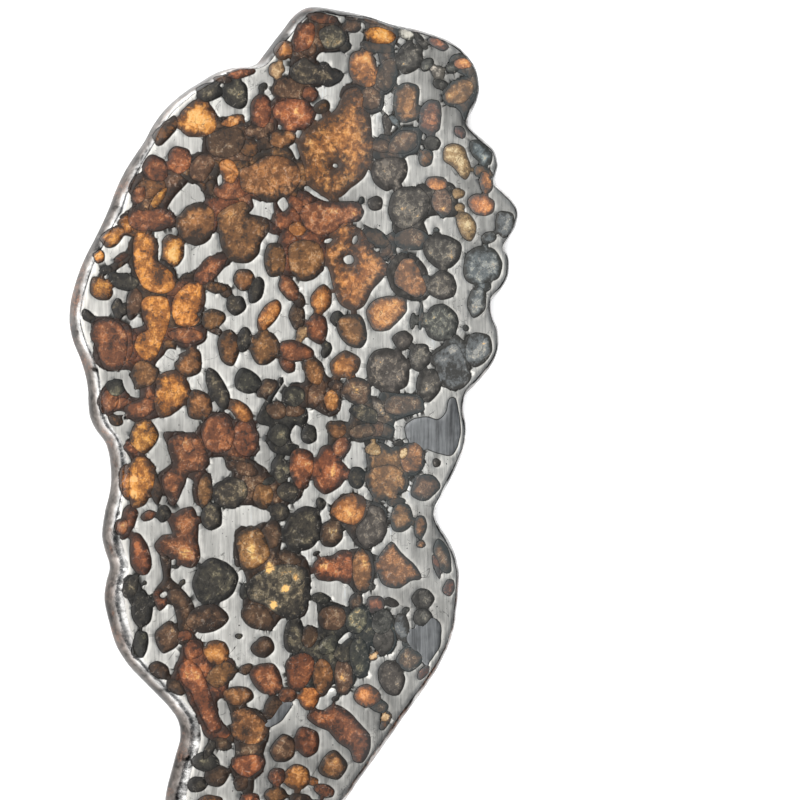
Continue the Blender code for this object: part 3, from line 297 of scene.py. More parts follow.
# Masses of small crystals grown together, which fill in between the single ones: tone and corners.
MASSES = (
    ("rust", (
        (-9.0, 52.2), (-8.0, 54.0), (-4.6, 57.8), (-3.0, 57.6), (-4.2, 54.0), (-4.6, 52.4), (-6.2, 51.6),
    )),
    ("umber", (
        (-16.8, 53.0), (-14.0, 54.0), (-10.4, 53.2), (-9.0, 53.6), (-8.6, 51.0), (-8.8, 47.4), (-11.0, 47.2),
        (-15.0, 47.0), (-17.4, 48.4), (-17.0, 50.4),
    )),
    ("brown", (
        (-19.8, 46.6), (-17.8, 48.2), (-15.0, 47.4), (-11.0, 47.8), (-7.6, 48.6), (-5.0, 50.6), (-2.0, 49.2),
        (-0.6, 46.0), (0.4, 43.4), (-1.6, 42.2), (-3.4, 41.6), (-7.0, 41.4), (-9.0, 40.6), (-14.0, 41.0),
        (-17.0, 41.0), (-18.4, 42.8), (-20.4, 43.8), (-21.4, 45.0),
    )),
    ("umber", (
        (-29.2, 43.4), (-27.8, 44.6), (-24.0, 45.2), (-21.4, 45.0), (-19.6, 44.0), (-22.0, 41.2), (-23.4, 39.0),
        (-22.0, 37.8), (-22.2, 36.2), (-24.0, 35.9), (-28.0, 36.0), (-30.6, 35.4), (-31.2, 37.4), (-29.0, 39.0),
        (-28.0, 40.2), (-29.8, 41.4),
    )),
    ("rust", (
        (-17.0, 40.8), (-13.0, 41.2), (-9.6, 40.2), (-9.0, 38.6), (-7.0, 38.4), (-5.4, 37.4), (-3.6, 35.8),
        (-5.0, 35.4), (-6.4, 36.0), (-9.0, 37.0), (-14.0, 39.0), (-15.2, 35.6), (-16.0, 35.8), (-16.8, 39.0),
    )),
    ("rust", (
        (-5.0, 41.0), (-3.4, 42.0), (-1.6, 42.4), (0.6, 42.6), (2.6, 41.6), (4.6, 41.0), (5.0, 37.0), (4.4, 34.0),
        (4.0, 31.0), (3.2, 29.4), (0.8, 28.6), (-1.0, 28.6), (-3.6, 29.0), (-3.8, 31.6), (-4.4, 34.0), (-3.6, 36.4),
        (-4.6, 37.8), (-5.0, 39.4),
    )),
    ("umber", (
        (-29.0, 34.0), (-29.4, 29.0), (-28.8, 25.4), (-27.6, 21.4), (-27.0, 20.6), (-23.6, 20.0), (-18.0, 20.4),
        (-17.4, 22.0), (-17.4, 25.2), (-18.4, 27.0), (-16.4, 27.6), (-14.2, 29.6), (-12.2, 31.0), (-14.0, 32.2),
        (-16.6, 30.8), (-19.0, 29.0), (-21.6, 27.6), (-22.2, 29.4), (-23.4, 30.6), (-25.0, 31.2), (-25.2, 34.0),
        (-27.0, 34.4),
    )),
    ("rust", (
        (-36.0, 20.8), (-33.6, 21.4), (-31.0, 20.8), (-29.4, 19.8), (-27.6, 20.2), (-26.2, 21.0), (-22.0, 20.6),
        (-17.0, 20.4), (-17.2, 18.0), (-20.4, 16.8), (-23.0, 17.8), (-23.6, 16.0), (-25.4, 14.2), (-25.4, 11.0),
        (-24.6, 9.0), (-25.2, 6.4), (-24.4, 5.8), (-27.0, 5.2), (-29.0, 5.0), (-31.0, 6.4), (-33.4, 6.2),
        (-34.6, 8.0), (-34.0, 10.4), (-32.0, 11.2), (-30.4, 10.6), (-29.6, 9.0), (-28.0, 8.8), (-28.2, 11.0),
        (-29.8, 13.2), (-33.0, 13.0), (-35.4, 14.6), (-35.6, 17.6),
    )),
    ("rust", (
        (-24.0, 3.0), (-21.0, 3.2), (-18.6, 3.4), (-16.0, 6.2), (-13.4, 6.2), (-12.2, 5.2), (-9.6, 5.6), (-8.4, 4.6),
        (-7.8, 2.4), (-7.8, 0.0), (-9.4, -0.8), (-12.0, -0.8), (-13.6, -0.6), (-16.0, -0.8), (-18.0, -2.6),
        (-16.2, -3.6), (-15.8, -6.0), (-17.0, -8.2), (-18.4, -8.4), (-19.0, -6.4), (-19.0, -4.6), (-20.6, -4.0),
        (-21.4, -6.6), (-22.6, -7.8), (-24.6, -5.6), (-24.8, -3.6), (-22.4, -1.4),
    )),
    ("umber", (
        (-13.8, -0.8), (-12.4, -0.6), (-9.0, -1.4), (-6.6, -2.6), (-5.6, -3.8), (-4.4, -4.2), (-3.0, -5.0),
        (-1.0, -5.2), (0.4, -5.6), (-0.4, -7.4), (-2.6, -8.8), (-3.4, -11.0), (-5.0, -10.6), (-5.4, -8.6),
        (-6.4, -9.0), (-8.6, -8.6), (-10.0, -8.6), (-13.4, -8.6), (-15.0, -7.2), (-14.4, -5.0), (-12.6, -4.4),
        (-12.4, -2.8),
    )),
    ("dark", (
        (-8.0, 5.6), (-6.0, 9.0), (-4.0, 12.0), (-3.4, 11.4), (-5.4, 8.0), (-3.0, 8.0), (-1.0, 7.2), (0.6, 7.0),
        (1.0, 5.4), (0.2, 3.8), (-1.2, 4.4), (-2.2, 3.0), (-1.8, 1.4), (-0.6, 0.8), (-1.6, -0.6), (-4.0, -0.4),
        (-5.6, 0.4), (-6.4, 2.2), (-5.8, 4.0), (-7.6, 4.6),
    )),
    ("umber", (
        (-3.0, 9.4), (-2.0, 11.0), (0.4, 11.4), (0.6, 13.8), (1.8, 15.2), (3.4, 14.6), (4.2, 12.6), (5.4, 11.8),
        (6.6, 11.2), (6.8, 8.6), (6.4, 6.4), (4.4, 5.8), (2.0, 7.0), (0.8, 7.2), (-1.0, 7.0), (-2.8, 7.6),
    )),
    ("umber", (
        (11.4, 8.4), (13.6, 8.8), (14.4, 9.8), (18.0, 9.4), (22.0, 9.0), (22.0, 8.0), (20.6, 6.2), (18.6, 5.6),
        (16.8, 5.0), (16.2, 3.0), (15.0, 1.8), (12.8, 2.0), (10.4, 1.6), (8.8, 1.8), (8.0, 0.0), (6.8, -0.8),
        (5.4, 0.0), (4.6, 1.4), (5.0, 4.6), (6.6, 5.0), (8.4, 5.0), (9.0, 6.8), (10.6, 7.6),
    )),
    ("brown", (
        (11.4, -0.4), (12.4, 1.0), (14.4, 1.2), (16.0, 0.4), (17.4, 1.0), (20.4, 1.2), (22.0, 0.0), (22.0, -2.4),
        (20.6, -4.0), (19.2, -4.4), (19.0, -6.4), (16.0, -7.6), (13.0, -6.6), (11.8, -3.8), (11.6, -2.0),
    )),
    ("umber", (
        (5.2, -9.0), (7.0, -7.4), (9.4, -7.0), (11.2, -8.0), (13.4, -8.6), (15.0, -9.6), (15.2, -12.0), (14.6, -14.0),
        (13.2, -15.6), (11.4, -16.4), (9.4, -15.0), (7.6, -12.8), (6.4, -12.0), (5.0, -10.8),
    )),
    ("umber", (
        (8.6, -16.4), (10.6, -16.2), (12.4, -17.0), (13.0, -20.0), (12.2, -22.4), (10.4, -23.4), (8.8, -22.6),
        (7.8, -21.0), (8.0, -17.6),
    )),
    ("dark", (
        (3.0, -24.6), (5.4, -25.0), (7.8, -25.8), (9.4, -25.4), (11.4, -26.0), (12.8, -28.0), (13.2, -26.8),
        (15.0, -26.8), (16.2, -28.6), (16.8, -30.4), (17.0, -32.0), (15.6, -33.8), (13.4, -33.0), (12.2, -32.4),
        (11.8, -34.4), (11.6, -36.6), (9.8, -37.0), (8.9, -39.0), (7.4, -40.0), (5.8, -38.4), (3.8, -39.6),
        (1.8, -38.8), (-0.6, -38.6), (-2.6, -37.0), (-2.8, -35.0), (-0.8, -33.0), (0.2, -31.6), (1.6, -29.0),
        (2.9, -29.0), (2.6, -27.0),
    )),
    ("rust", (
        (-21.6, -33.4), (-20.6, -31.0), (-19.4, -30.0), (-17.6, -30.4), (-17.2, -32.4), (-16.0, -34.0),
        (-14.0, -34.0), (-12.4, -33.4), (-11.8, -35.0), (-12.8, -37.0), (-13.4, -39.6), (-14.4, -39.8),
        (-15.0, -41.0), (-13.2, -44.6), (-12.6, -45.6), (-14.4, -46.6), (-17.0, -45.6), (-18.4, -42.0),
        (-19.8, -40.0), (-20.6, -38.0), (-22.6, -37.4), (-23.0, -36.4), (-22.2, -35.0),
    )),
    ("umber", (
        (-13.4, -39.8), (-12.0, -40.8), (-10.6, -41.0), (-8.0, -42.0), (-6.8, -43.0), (-5.8, -44.8), (-6.4, -47.4),
        (-7.0, -49.4), (-7.0, -52.0), (-8.4, -53.0), (-8.6, -55.0), (-9.6, -57.0), (-10.8, -54.0), (-12.6, -51.0),
        (-11.8, -49.0), (-12.0, -47.0), (-14.0, -48.0), (-15.2, -47.0), (-13.2, -45.6), (-13.0, -44.0),
        (-12.4, -42.4),
    )),
    ("umber", (
        (-24.6, -16.4), (-22.8, -17.0), (-22.8, -20.0), (-21.4, -21.4), (-20.0, -23.0), (-18.8, -25.0),
        (-19.6, -28.0), (-18.4, -29.8), (-17.6, -31.0), (-20.0, -31.4), (-22.0, -29.6), (-21.6, -27.6),
        (-22.4, -24.6), (-24.0, -24.0), (-25.4, -22.0), (-24.0, -20.0),
    )),
    ("umber", (
        (-11.8, -13.6), (-11.0, -12.2), (-9.0, -12.4), (-7.0, -11.6), (-4.6, -11.8), (-3.6, -14.0), (-3.8, -16.4),
        (-1.2, -16.6), (0.8, -18.0), (1.4, -21.0), (1.0, -25.0), (0.0, -27.0), (-3.6, -27.2), (-5.0, -28.6),
        (-7.2, -29.0), (-9.6, -27.0), (-10.4, -24.8), (-9.8, -21.0), (-10.6, -18.8), (-11.8, -18.2),
    )),
    ("umber", (
        (-1.6, 66.0), (-0.4, 69.4), (1.6, 71.4), (5.0, 71.6), (7.4, 70.0), (8.2, 67.6), (6.4, 66.0), (3.4, 65.6),
        (2.4, 64.4), (3.4, 63.4), (6.6, 62.6), (6.6, 61.2), (3.0, 60.0), (1.4, 60.0), (2.0, 58.6), (0.6, 57.6),
        (-3.0, 57.8), (-4.8, 58.6), (-4.2, 60.4), (-2.6, 61.0), (-2.0, 64.4),
    )),
    ("umber", (
        (7.8, 71.2), (11.0, 70.8), (11.6, 68.8), (12.0, 67.6), (10.6, 67.0), (13.4, 66.2), (14.0, 63.6), (13.0, 60.8),
        (11.4, 60.2), (9.6, 60.6), (7.6, 60.2), (6.8, 58.4), (8.0, 57.0), (12.0, 56.0), (14.4, 56.8), (14.6, 58.8),
        (15.8, 59.8), (17.0, 61.4), (16.8, 64.0), (16.6, 67.0), (17.0, 68.4), (17.4, 70.6), (12.0, 71.9), (8.0, 71.9),
    )),
    ("umber", (
        (12.6, 49.0), (14.0, 52.4), (16.0, 52.4), (18.0, 53.8), (21.0, 54.0), (22.0, 55.0), (21.6, 52.0),
        (20.8, 50.0), (18.6, 49.2), (17.6, 48.4), (14.0, 48.2),
    )),
    ("ash", (
        (16.4, 38.4), (17.0, 36.0), (21.0, 36.8), (22.8, 36.0), (22.0, 38.6), (24.4, 39.4), (27.0, 39.2),
        (28.4, 40.0), (28.0, 44.0), (26.6, 45.0), (23.0, 44.6), (20.8, 44.0),
    )),
    ("umber", (
        (11.0, 37.4), (12.6, 36.8), (14.8, 35.6), (16.6, 36.4), (17.0, 33.8), (15.8, 32.2), (14.4, 31.6),
        (13.8, 33.8), (12.6, 35.6),
    )),
    ("ash", (
        (15.2, 30.0), (16.4, 32.0), (18.0, 33.0), (21.0, 32.0), (22.6, 30.0), (23.2, 26.6), (22.0, 25.2),
        (18.0, 25.4), (16.0, 27.0),
    )),
    ("umber", (
        (25.5, 59.7), (26.6, 61.5), (28.9, 62.6), (30.4, 63.0), (31.9, 62.4), (32.4, 61.1), (31.9, 59.4),
        (30.8, 58.3), (30.2, 56.9), (29.6, 55.5), (28.9, 56.9), (27.8, 57.8), (26.2, 58.1),
    )),
    ("umber", (
        (27.0, 65.9), (28.1, 66.7), (30.2, 66.3), (31.6, 64.4), (32.2, 62.8), (30.8, 62.4), (29.3, 63.3),
        (27.0, 64.2),
    )),
    ("dark", ((-30.6, -20.0), (-29.0, -19.6), (-27.6, -21.6), (-26.6, -23.6), (-28.8, -24.6), (-30.2, -22.6))),
    ("rust", (
        (-29.7, -8.2), (-28.3, -9.5), (-29.1, -11.8), (-30.2, -13.5), (-31.3, -13.5), (-31.2, -11.0), (-30.8, -9.2),
    )),
    ("rust", ((-30.3, 1.5), (-29.4, 2.3), (-28.3, 1.5), (-27.2, -0.3), (-27.5, -1.8), (-29.1, -1.3), (-30.1, 0.0))),
    ("slate", (
        (23.6, 16.0), (25.6, 17.6), (26.0, 19.0), (28.0, 19.4), (29.6, 18.4), (30.6, 19.4), (31.0, 15.0),
        (30.0, 12.0), (29.0, 10.6), (27.4, 10.0), (25.6, 11.0), (25.2, 13.4),
    )),
)

# Lighter and darker places inside the crystals: x, y, reach, change of level.
SHADES = (
    (8.6, 58.8, 3.4, -0.50), (3.5, 46.5, 2.5, -0.14), (2.0, 49.5, 2.6, 0.20), (9.0, 53.5, 3.0, 0.18),
    (4.5, 44.5, 1.6, 0.20), (10.5, 46.5, 2.5, -0.15), (-18.4, 53.8, 2.8, 0.55), (-18.2, 34.4, 2.8, -0.85),
    (-19.2, 38.2, 2.8, 0.15), (-12.0, 37.0, 3.0, 0.12), (-5.0, 45.5, 4.5, 0.15), (-27.0, 32.6, 2.4, 0.05),
    (-24.2, 28.6, 2.8, -0.45), (-22.6, 32.0, 2.2, 0.45), (-23.0, 34.9, 1.6, -1.20), (-26.4, 23.8, 2.0, 0.05),
    (-24.6, 21.8, 1.6, -0.35), (-19.4, 23.6, 2.8, -0.20), (-27.0, 17.6, 2.2, -0.25), (-23.2, 9.8, 1.6, 0.10),
    (-25.2, 7.0, 1.6, -0.45), (-29.4, -4.4, 1.3, 0.70), (-28.9, -6.4, 1.1, 0.90), (-27.2, -5.4, 1.8, -0.30),
    (-20.2, -16.2, 1.8, 0.60), (-3.0, -22.5, 1.1, 1.60), (-5.2, -25.2, 1.3, 1.10), (-1.3, -21.0, 1.0, 0.50),
    (-9.0, -15.8, 1.5, 0.75), (-8.4, -17.6, 1.3, 0.80), (-5.8, -19.0, 1.6, 1.30), (-10.8, -13.6, 1.4, -0.40),
    (-16.0, -21.4, 3.4, -0.22), (8.0, -10.2, 2.0, 0.45), (10.6, -8.4, 1.8, -0.45), (5.6, -9.2, 1.2, -0.30),
    (15.8, 23.6, 2.0, 0.30), (12.4, 22.6, 1.4, -0.20), (9.0, 25.6, 3.0, -0.20), (12.6, 30.4, 2.0, 0.15),
    (5.8, 31.0, 1.8, 0.12), (9.4, 34.8, 1.8, 0.35), (-1.0, 55.6, 1.8, 0.45), (3.6, -18.8, 1.7, 0.70),
    (16.6, -20.0, 2.4, -0.20), (-17.2, -43.6, 2.4, -0.20), (2.6, -44.2, 1.4, 0.40), (-10.4, -45.0, 3.4, -0.40),
    (-16.8, -40.0, 4.0, -0.22), (-9.6, -50.8, 2.2, -0.15), (-8.8, -49.4, 1.0, 0.90), (3.8, -36.2, 0.7, 1.00),
    (11.2, -19.2, 1.1, 0.90), (13.2, -0.2, 1.8, -0.22), (-7.0, -7.0, 0.8, 0.50), (-12.2, 53.8, 2.2, 0.35),
    (10.6, 65.0, 1.7, 0.40), (11.8, 61.6, 1.8, -0.45), (14.6, 69.4, 1.6, 0.45), (24.5, 68.4, 2.0, 0.35),
    (29.4, 65.1, 1.8, 0.40), (33.4, 41.2, 2.6, 0.30), (24.6, 44.9, 2.2, 0.35), (33.4, 46.6, 2.0, 0.30),
    (33.0, 32.0, 3.6, -0.35), (31.6, 17.4, 2.4, -0.20), (27.4, 13.6, 4.0, -0.35), (33.0, 27.4, 1.6, 0.30),
    (18.3, -0.4, 1.4, 0.5), (-16.7, -26.9, 3.6, -0.50), (10.8, 62.6, 2.6, -0.36), (-25.0, 40.4, 2.4, -0.22),
    (-25.6, 30.6, 3.2, -0.25), (-31.0, -11.8, 1.5, 0.45), (21.5, -15.7, 1.2, 0.55), (-27.6, -24.9, 3.2, -0.45),
    (-28.0, -30.4, 2.8, -0.40), (-29.6, -21.0, 2.2, -0.30), (-1.5, -16.5, 3.0, -0.25), (-24.6, -23.4, 1.8, 0.40),
    (16.6, 55.0, 1.4, 0.55), (19.5, 30.6, 2.6, -0.10), (17.6, 27.6, 2.2, -0.30), (-32.6, 34.6, 1.8, 0.35),
    (-35.0, 31.4, 1.6, 0.85), (-34.8, 25.4, 1.8, 0.15), (-10.9, 6.6, 2.2, 0.35), (-27.0, 3.0, 2.2, -0.22),
    (7.6, 13.6, 1.8, 0.25), (7.8, 15.8, 1.4, -0.35), (3.3, 25.0, 1.4, 0.30), (-5.9, 22.4, 1.8, 0.25),
    (5.4, -3.2, 2.2, 0.30), (5.4, -13.8, 1.4, 0.35), (-2.4, 26.9, 1.2, 0.35), (9.6, 10.4, 1.4, 0.35),
    (6.9, 0.4, 1.2, 0.20), (-18.6, -35.6, 2.0, 0.45), (-18.8, -32.0, 1.6, -0.15), (-15.0, -31.6, 1.6, 0.25),
    (14.4, -28.4, 2.2, -0.40), (15.4, -32.0, 2.4, -0.20), (12.7, -34.2, 1.2, 0.80), (0.9, -40.6, 1.6, -0.12),
    (10.8, -40.2, 1.4, 0.45), (13.2, -41.6, 1.6, -0.35), (15.0, -44.4, 1.2, 0.60), (5.8, -51.4, 1.6, 0.35),
    (-13.6, 50.2, 3.4, -0.15), (-4.6, 62.3, 1.6, 0.25), (-3.2, 65.7, 1.6, 0.30), (-10.6, 61.4, 2.4, 0.60),
    (-28.4, -15.0, 1.8, 0.20), (-14.8, 4.6, 2.4, 0.15), (-10.0, 1.6, 2.4, -0.15), (13.4, -25.3, 1.2, 0.35),
)

# Darker places in the metal of the face, partly duller metal and partly painted shade where the face reflects a
# darker surround: x, y, reach, change of tone.
DULL_AND_SHADED_METAL = (
    (10.0, 66.0, 9.0, -0.24), (22.0, 65.0, 8.0, -0.26), (28.5, 58.0, 8.0, -0.42), (20.0, 54.0, 7.0, -0.20),
    (31.0, 47.0, 8.0, -0.25), (33.5, 24.0, 7.0, -0.28), (29.5, 36.0, 7.0, -0.15), (24.0, -14.0, 8.0, -0.22),
    (20.0, -27.0, 8.0, -0.26), (16.0, -45.0, 9.0, -0.22), (-13.0, -42.0, 8.0, -0.32), (-4.0, -47.0, 9.0, -0.16),
    (-25.5, -5.5, 5.0, -0.32), (-22.0, -16.0, 14.0, -0.10), (-22.0, 4.0, 9.0, -0.14), (-6.5, 2.0, 7.0, -0.20),
    (3.0, 70.5, 8.0, -0.25), (-5.0, 62.5, 6.0, -0.25), (6.0, 4.0, 7.0, -0.10), (-31.0, 10.0, 6.0, -0.12),
    (26.5, -28.0, 7.0, -0.20), (2.0, -24.0, 6.0, -0.10), (-15.0, -49.0, 6.0, -0.25), (8.0, 42.0, 5.0, -0.18),
    (-31.4, -1.0, 12.0, -0.34), (-18.0, -1.0, 12.0, -0.22), (-4.5, -1.0, 12.0, -0.20), (-31.5, 12.0, 11.0, -0.22),
    (-18.0, -14.4, 12.0, -0.16), (25.0, -14.0, 9.0, -0.18), (-31.5, -26.0, 12.0, -0.18), (-4.0, -27.5, 12.0, -0.20),
    (-4.0, -50.5, 12.0, -0.30), (10.0, -51.0, 12.0, -0.18), (-18.0, 38.5, 12.0, -0.24), (10.0, 39.0, 11.0, -0.16),
    (36.0, 40.0, 9.0, -0.26), (10.0, 65.0, 10.0, -0.18), (25.0, 65.5, 10.0, -0.30), (26.0, 57.0, 9.0, -0.12),
    (30.2, 54.8, 3.0, -0.40), (-31.4, 25.0, 10.0, -0.16), (30.6, 44.5, 5.0, -0.20), (14.0, -42.0, 8.0, -0.24),
    (6.0, -54.0, 12.0, -0.26), (20.0, -35.0, 9.0, -0.20), (-12.0, -56.0, 12.0, -0.20), (19.0, -22.0, 7.0, -0.12),
)

# Places where the slice's rim is darker, mostly painted shade where it turns from the light, with some tarnish: x, y,
# reach, share of the sheen that is lost.
RIM_SHADE_AND_TARNISH = (
    (1.0, 72.5, 6.0, 0.75), (8.0, 72.5, 6.0, 0.85), (16.0, 71.5, 6.0, 0.85), (23.0, 70.0, 6.0, 0.85),
    (29.5, 67.0, 6.0, 0.90), (33.5, 61.0, 6.0, 0.90), (31.0, 54.0, 6.0, 0.95), (35.5, 48.0, 6.0, 0.90),
    (38.5, 40.0, 6.0, 0.80), (38.0, 32.0, 7.0, 0.85), (36.5, 23.0, 7.0, 0.90), (34.0, 15.0, 7.0, 0.90),
    (29.5, 7.0, 7.0, 0.90), (27.0, -3.0, 8.0, 0.80), (28.0, -14.0, 8.0, 0.80), (28.0, -24.0, 8.0, 0.85),
    (24.0, -34.0, 8.0, 0.85), (17.0, -44.0, 8.0, 0.85), (10.0, -53.0, 8.0, 0.85), (-5.0, 66.5, 6.0, 0.75),
    (-16.5, 59.0, 5.0, 0.45), (-34.0, -27.0, 5.0, 0.35), (-26.0, -38.0, 6.0, 0.45),
)

# Rusty places on the slice's rim: x, y, reach, strength.
RIM_RUST = (
    (-10.5, 61.4, 3.4, 1.0), (-30.6, 42.2, 2.2, 0.7), (-36.8, 14.2, 2.4, 0.8), (-38.0, 24.0, 2.4, 0.5),
    (-31.8, -29.6, 3.4, 0.5), (-33.8, -22.0, 3.0, 0.35), (26.4, -31.0, 4.5, 0.8), (22.4, -37.6, 5.0, 1.0),
    (17.0, -44.4, 5.0, 1.0), (12.0, -50.0, 5.0, 0.9), (8.0, -55.0, 4.0, 0.8), (27.6, -24.0, 4.0, 0.7),
)


# Outlines

def plan(x, y):
    """A place of the drawing, in the frame's directions."""
    return np.array((x - PLAN_ORIGIN[0], y - PLAN_ORIGIN[1]))


def node_edges_at(node, height):
    """The node's plan corners at this height, in millimetres, and the edges between them that bound flat faces."""
    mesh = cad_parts[node].data
    points = np.array([v.co[:] for v in mesh.vertices]) / MM
    keys = {}
    index = []
    for point in points:
        key = tuple(np.round(point, 3))
        index.append(keys.setdefault(key, len(keys)))
    unique = np.array(list(keys))
    count = {}
    mesh.calc_loop_triangles()
    for triangle in mesh.loop_triangles:
        corners = [index[i] for i in triangle.vertices]
        flat = all(abs(unique[c][2] - height) < SAME_HEIGHT for c in corners)
        for a, b in zip(corners, corners[1:] + corners[:1]):
            level = all(abs(unique[c][2] - height) < SAME_HEIGHT for c in (a, b))
            if level and a != b:
                entry = count.setdefault((min(a, b), max(a, b)), [0, 0])
                entry[1 if flat else 0] += 1
    return unique, count


def loops_at(node, height):
    """Closed outlines of the node at this height: edges that belong to a wall and not to two flat faces."""
    points, count = node_edges_at(node, height)
    links = {}
    for (a, b), (walls, _) in count.items():
        if walls:
            links.setdefault(a, []).append(b)
            links.setdefault(b, []).append(a)
    loops = []
    left = set(links)
    while left:
        start = min(left)
        loop = [start]
        left.discard(start)
        while True:
            following = [n for n in links[loop[-1]] if n in left]
            if not following:
                break
            loop.append(following[0])
            left.discard(following[0])
        outline = points[loop][:, :2]
        loops.append(outline if turned(outline) > 0 else outline[::-1])
    return sorted(loops, key=lambda outline: -abs(turned(outline)))


def turned(outline):
    """Twice the signed area: positive where the outline runs anticlockwise."""
    x, y = outline[:, 0], outline[:, 1]
    return float(np.sum(x * np.roll(y, -1) - np.roll(x, -1) * y))


def smoothed(corners, tension=0.5):
    """A closed smooth curve through the corners, with a point about every EDGE_STEP."""
    made = []
    count = len(corners)
    for i in range(count):
        p0, p1, p2, p3 = (corners[(i + k) % count] for k in (-1, 0, 1, 2))
        pieces = max(2, int(round(np.linalg.norm(p2 - p1) / EDGE_STEP)))
        for k in range(pieces):
            t = k / pieces
            m1 = tension * (p2 - p0)
            m2 = tension * (p3 - p1)
            h = 2 * t**3 - 3 * t**2 + 1, t**3 - 2 * t**2 + t, -2 * t**3 + 3 * t**2, t**3 - t**2
            made.append(h[0] * p1 + h[1] * m1 + h[2] * p2 + h[3] * m2)
    return np.array(made)


def offset(outline, distance):
    """The anticlockwise outline with each point moved outwards by distance."""
    along = np.roll(outline, -1, axis=0) - np.roll(outline, 1, axis=0)
    length = np.linalg.norm(along, axis=1, keepdims=True)
    along = along / np.maximum(length, 1e-9)
    outward = np.stack((along[:, 1], -along[:, 0]), axis=1)
    return outline + outward * np.reshape(distance, (-1, 1))


def ragged(outline, chance, size):
    """The outline with the small irregular wander of a natural crystal edge."""
    count = len(outline)
    angle = np.arange(count) / count * 2 * math.pi
    wander = np.zeros(count)
    for wave in (3, 5, 8, 13, 21):
        if wave < count / 3:
            wander += size / wave**0.6 * math.cos(chance.uniform(0, 3)) * np.sin(wave * angle + chance.uniform(0, 7))
    return offset(outline, wander)


def grain_outline(row, chance):
    """A rounded, slightly faceted outline from a row of GRAINS."""
    x, y, long, short, turn = row
    corners = chance.randint(*GRAIN_CORNERS)
    start = chance.uniform(0, 2 * math.pi)
    spin = math.radians(turn)
    made = []
    for k in range(corners):
        angle = start + (k + chance.uniform(-CORNER_SHIFT, CORNER_SHIFT)) / corners * 2 * math.pi
        reach = chance.uniform(*CORNER_REACH)
        a, b = long * reach * math.cos(angle), short * reach * math.sin(angle)
        made.append((a * math.cos(spin) - b * math.sin(spin), a * math.sin(spin) + b * math.cos(spin)))
    return smoothed(np.array(made) + plan(x, y), GRAIN_TENSION)


def tree_of(points):
    tree = kdtree.KDTree(len(points))
    for i, (x, y) in enumerate(points):
        tree.insert((x, y, 0), i)
    tree.balance()
    return tree


def distances_to(points, others):
    """Each point's distance to the nearest of the others."""
    tree = tree_of(others)
    return np.array([tree.find((x, y, 0))[2] for x, y in points])


def densely(outline, pieces=8):
    """The closed outline with that many points for each of its own."""
    following = np.roll(outline, -1, axis=0)
    return np.concatenate([outline + (following - outline) * k / pieces for k in range(pieces)])


def inside(points, outline):
    """Whether each point lies inside the closed outline."""
    result = np.zeros(len(points), bool)
    px, py = points[:, 0], points[:, 1]
    for (ax, ay), (bx, by) in zip(outline, np.roll(outline, -1, axis=0)):
        crosses = (ay > py) != (by > py)
        if ay != by:
            result ^= crosses & (px < (bx - ax) * (py - ay) / (by - ay) + ax)
    return result


class Field:
    """Points sorted for quick tests of which lie inside an outline."""

    def __init__(self, points):
        self.order = np.argsort(points[:, 0])
        self.points = points[self.order]

    def held(self, outline):
        """The numbers of the points inside the closed outline."""
        low, high = outline.min(0), outline.max(0)
        first, last = np.searchsorted(self.points[:, 0], (low[0], high[0]))
        near = self.points[first:last]
        level = np.flatnonzero((near[:, 1] > low[1]) & (near[:, 1] < high[1]))
        return self.order[first + level[inside(near[level], outline)]]


# The slice's plan, split into metal and crystals

class Grain:
    """One crystal or mass: its outline, its tone, and the CAD node that it stands for, if it has one."""

    def __init__(self, outline, tone, node, chance):
        self.outline = outline
        self.tone = tone
        self.node = node
        self.seed = chance.random()
        self.glow = chance.uniform(0.2, 0.8)
        reach = math.sqrt(abs(turned(outline)) / math.pi)
        self.rim_depth = DEEP_RIMS.get(node, chance.uniform(0.18, 0.40) * reach)


def look_of(tone, outline):
    """The tone as this part of the slice shows it; dark crystals near the right edge get a painted reflection haze.
    """
    across = outline[:, 0].mean() + PLAN_ORIGIN[0]
    if across > SHEEN_GREYED_FROM:
        return SHEEN_GREYED.get(tone, tone)
    return YELLOWER.get(tone, tone) if across < YELLOWER_TO else tone


def patch(rows, chance):
    """Grains from rows of a tone and its corners."""
    made = []
    for tone, corners in rows:
        outline = smoothed(np.array([plan(x, y) for x, y in corners]), CORNER_TENSION)
        if turned(outline) < 0:
            outline = outline[::-1]
        made.append(Grain(ragged(outline, chance, MASS_WANDER), tone, None, chance))
    return made


def all_grains(chance):
    """Every crystal, patch and mass of the slice. Where two overlap, the earlier one wins."""
    metal = [("iron", row) for row in GRAINS["iron"]]
    grains = [Grain(grain_outline(row, chance), tone, None, chance) for tone, row in metal]
    grains += patch(ISLANDS, chance)
    for node in sorted(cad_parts):
        if node == "iron_nickel_plate":
            continue
        corners = loops_at(node, THICKNESS)[0]
        outline = ragged(offset(smoothed(corners, CORNER_TENSION), NODE_GROWTH), chance, NODE_WANDER)
        tone = OWN_LOOK.get(node) or look_of(node.split("_")[0], outline)
        grains.append(Grain(outline, tone, node, chance))
    for tone in SMALL_PRIORITY:
        for row in GRAINS[tone]:
            outline = ragged(grain_outline(row, chance), chance, GRAIN_WANDER)
            grains.append(Grain(outline, look_of(tone, outline), None, chance))
    return grains + patch(MASSES, chance)


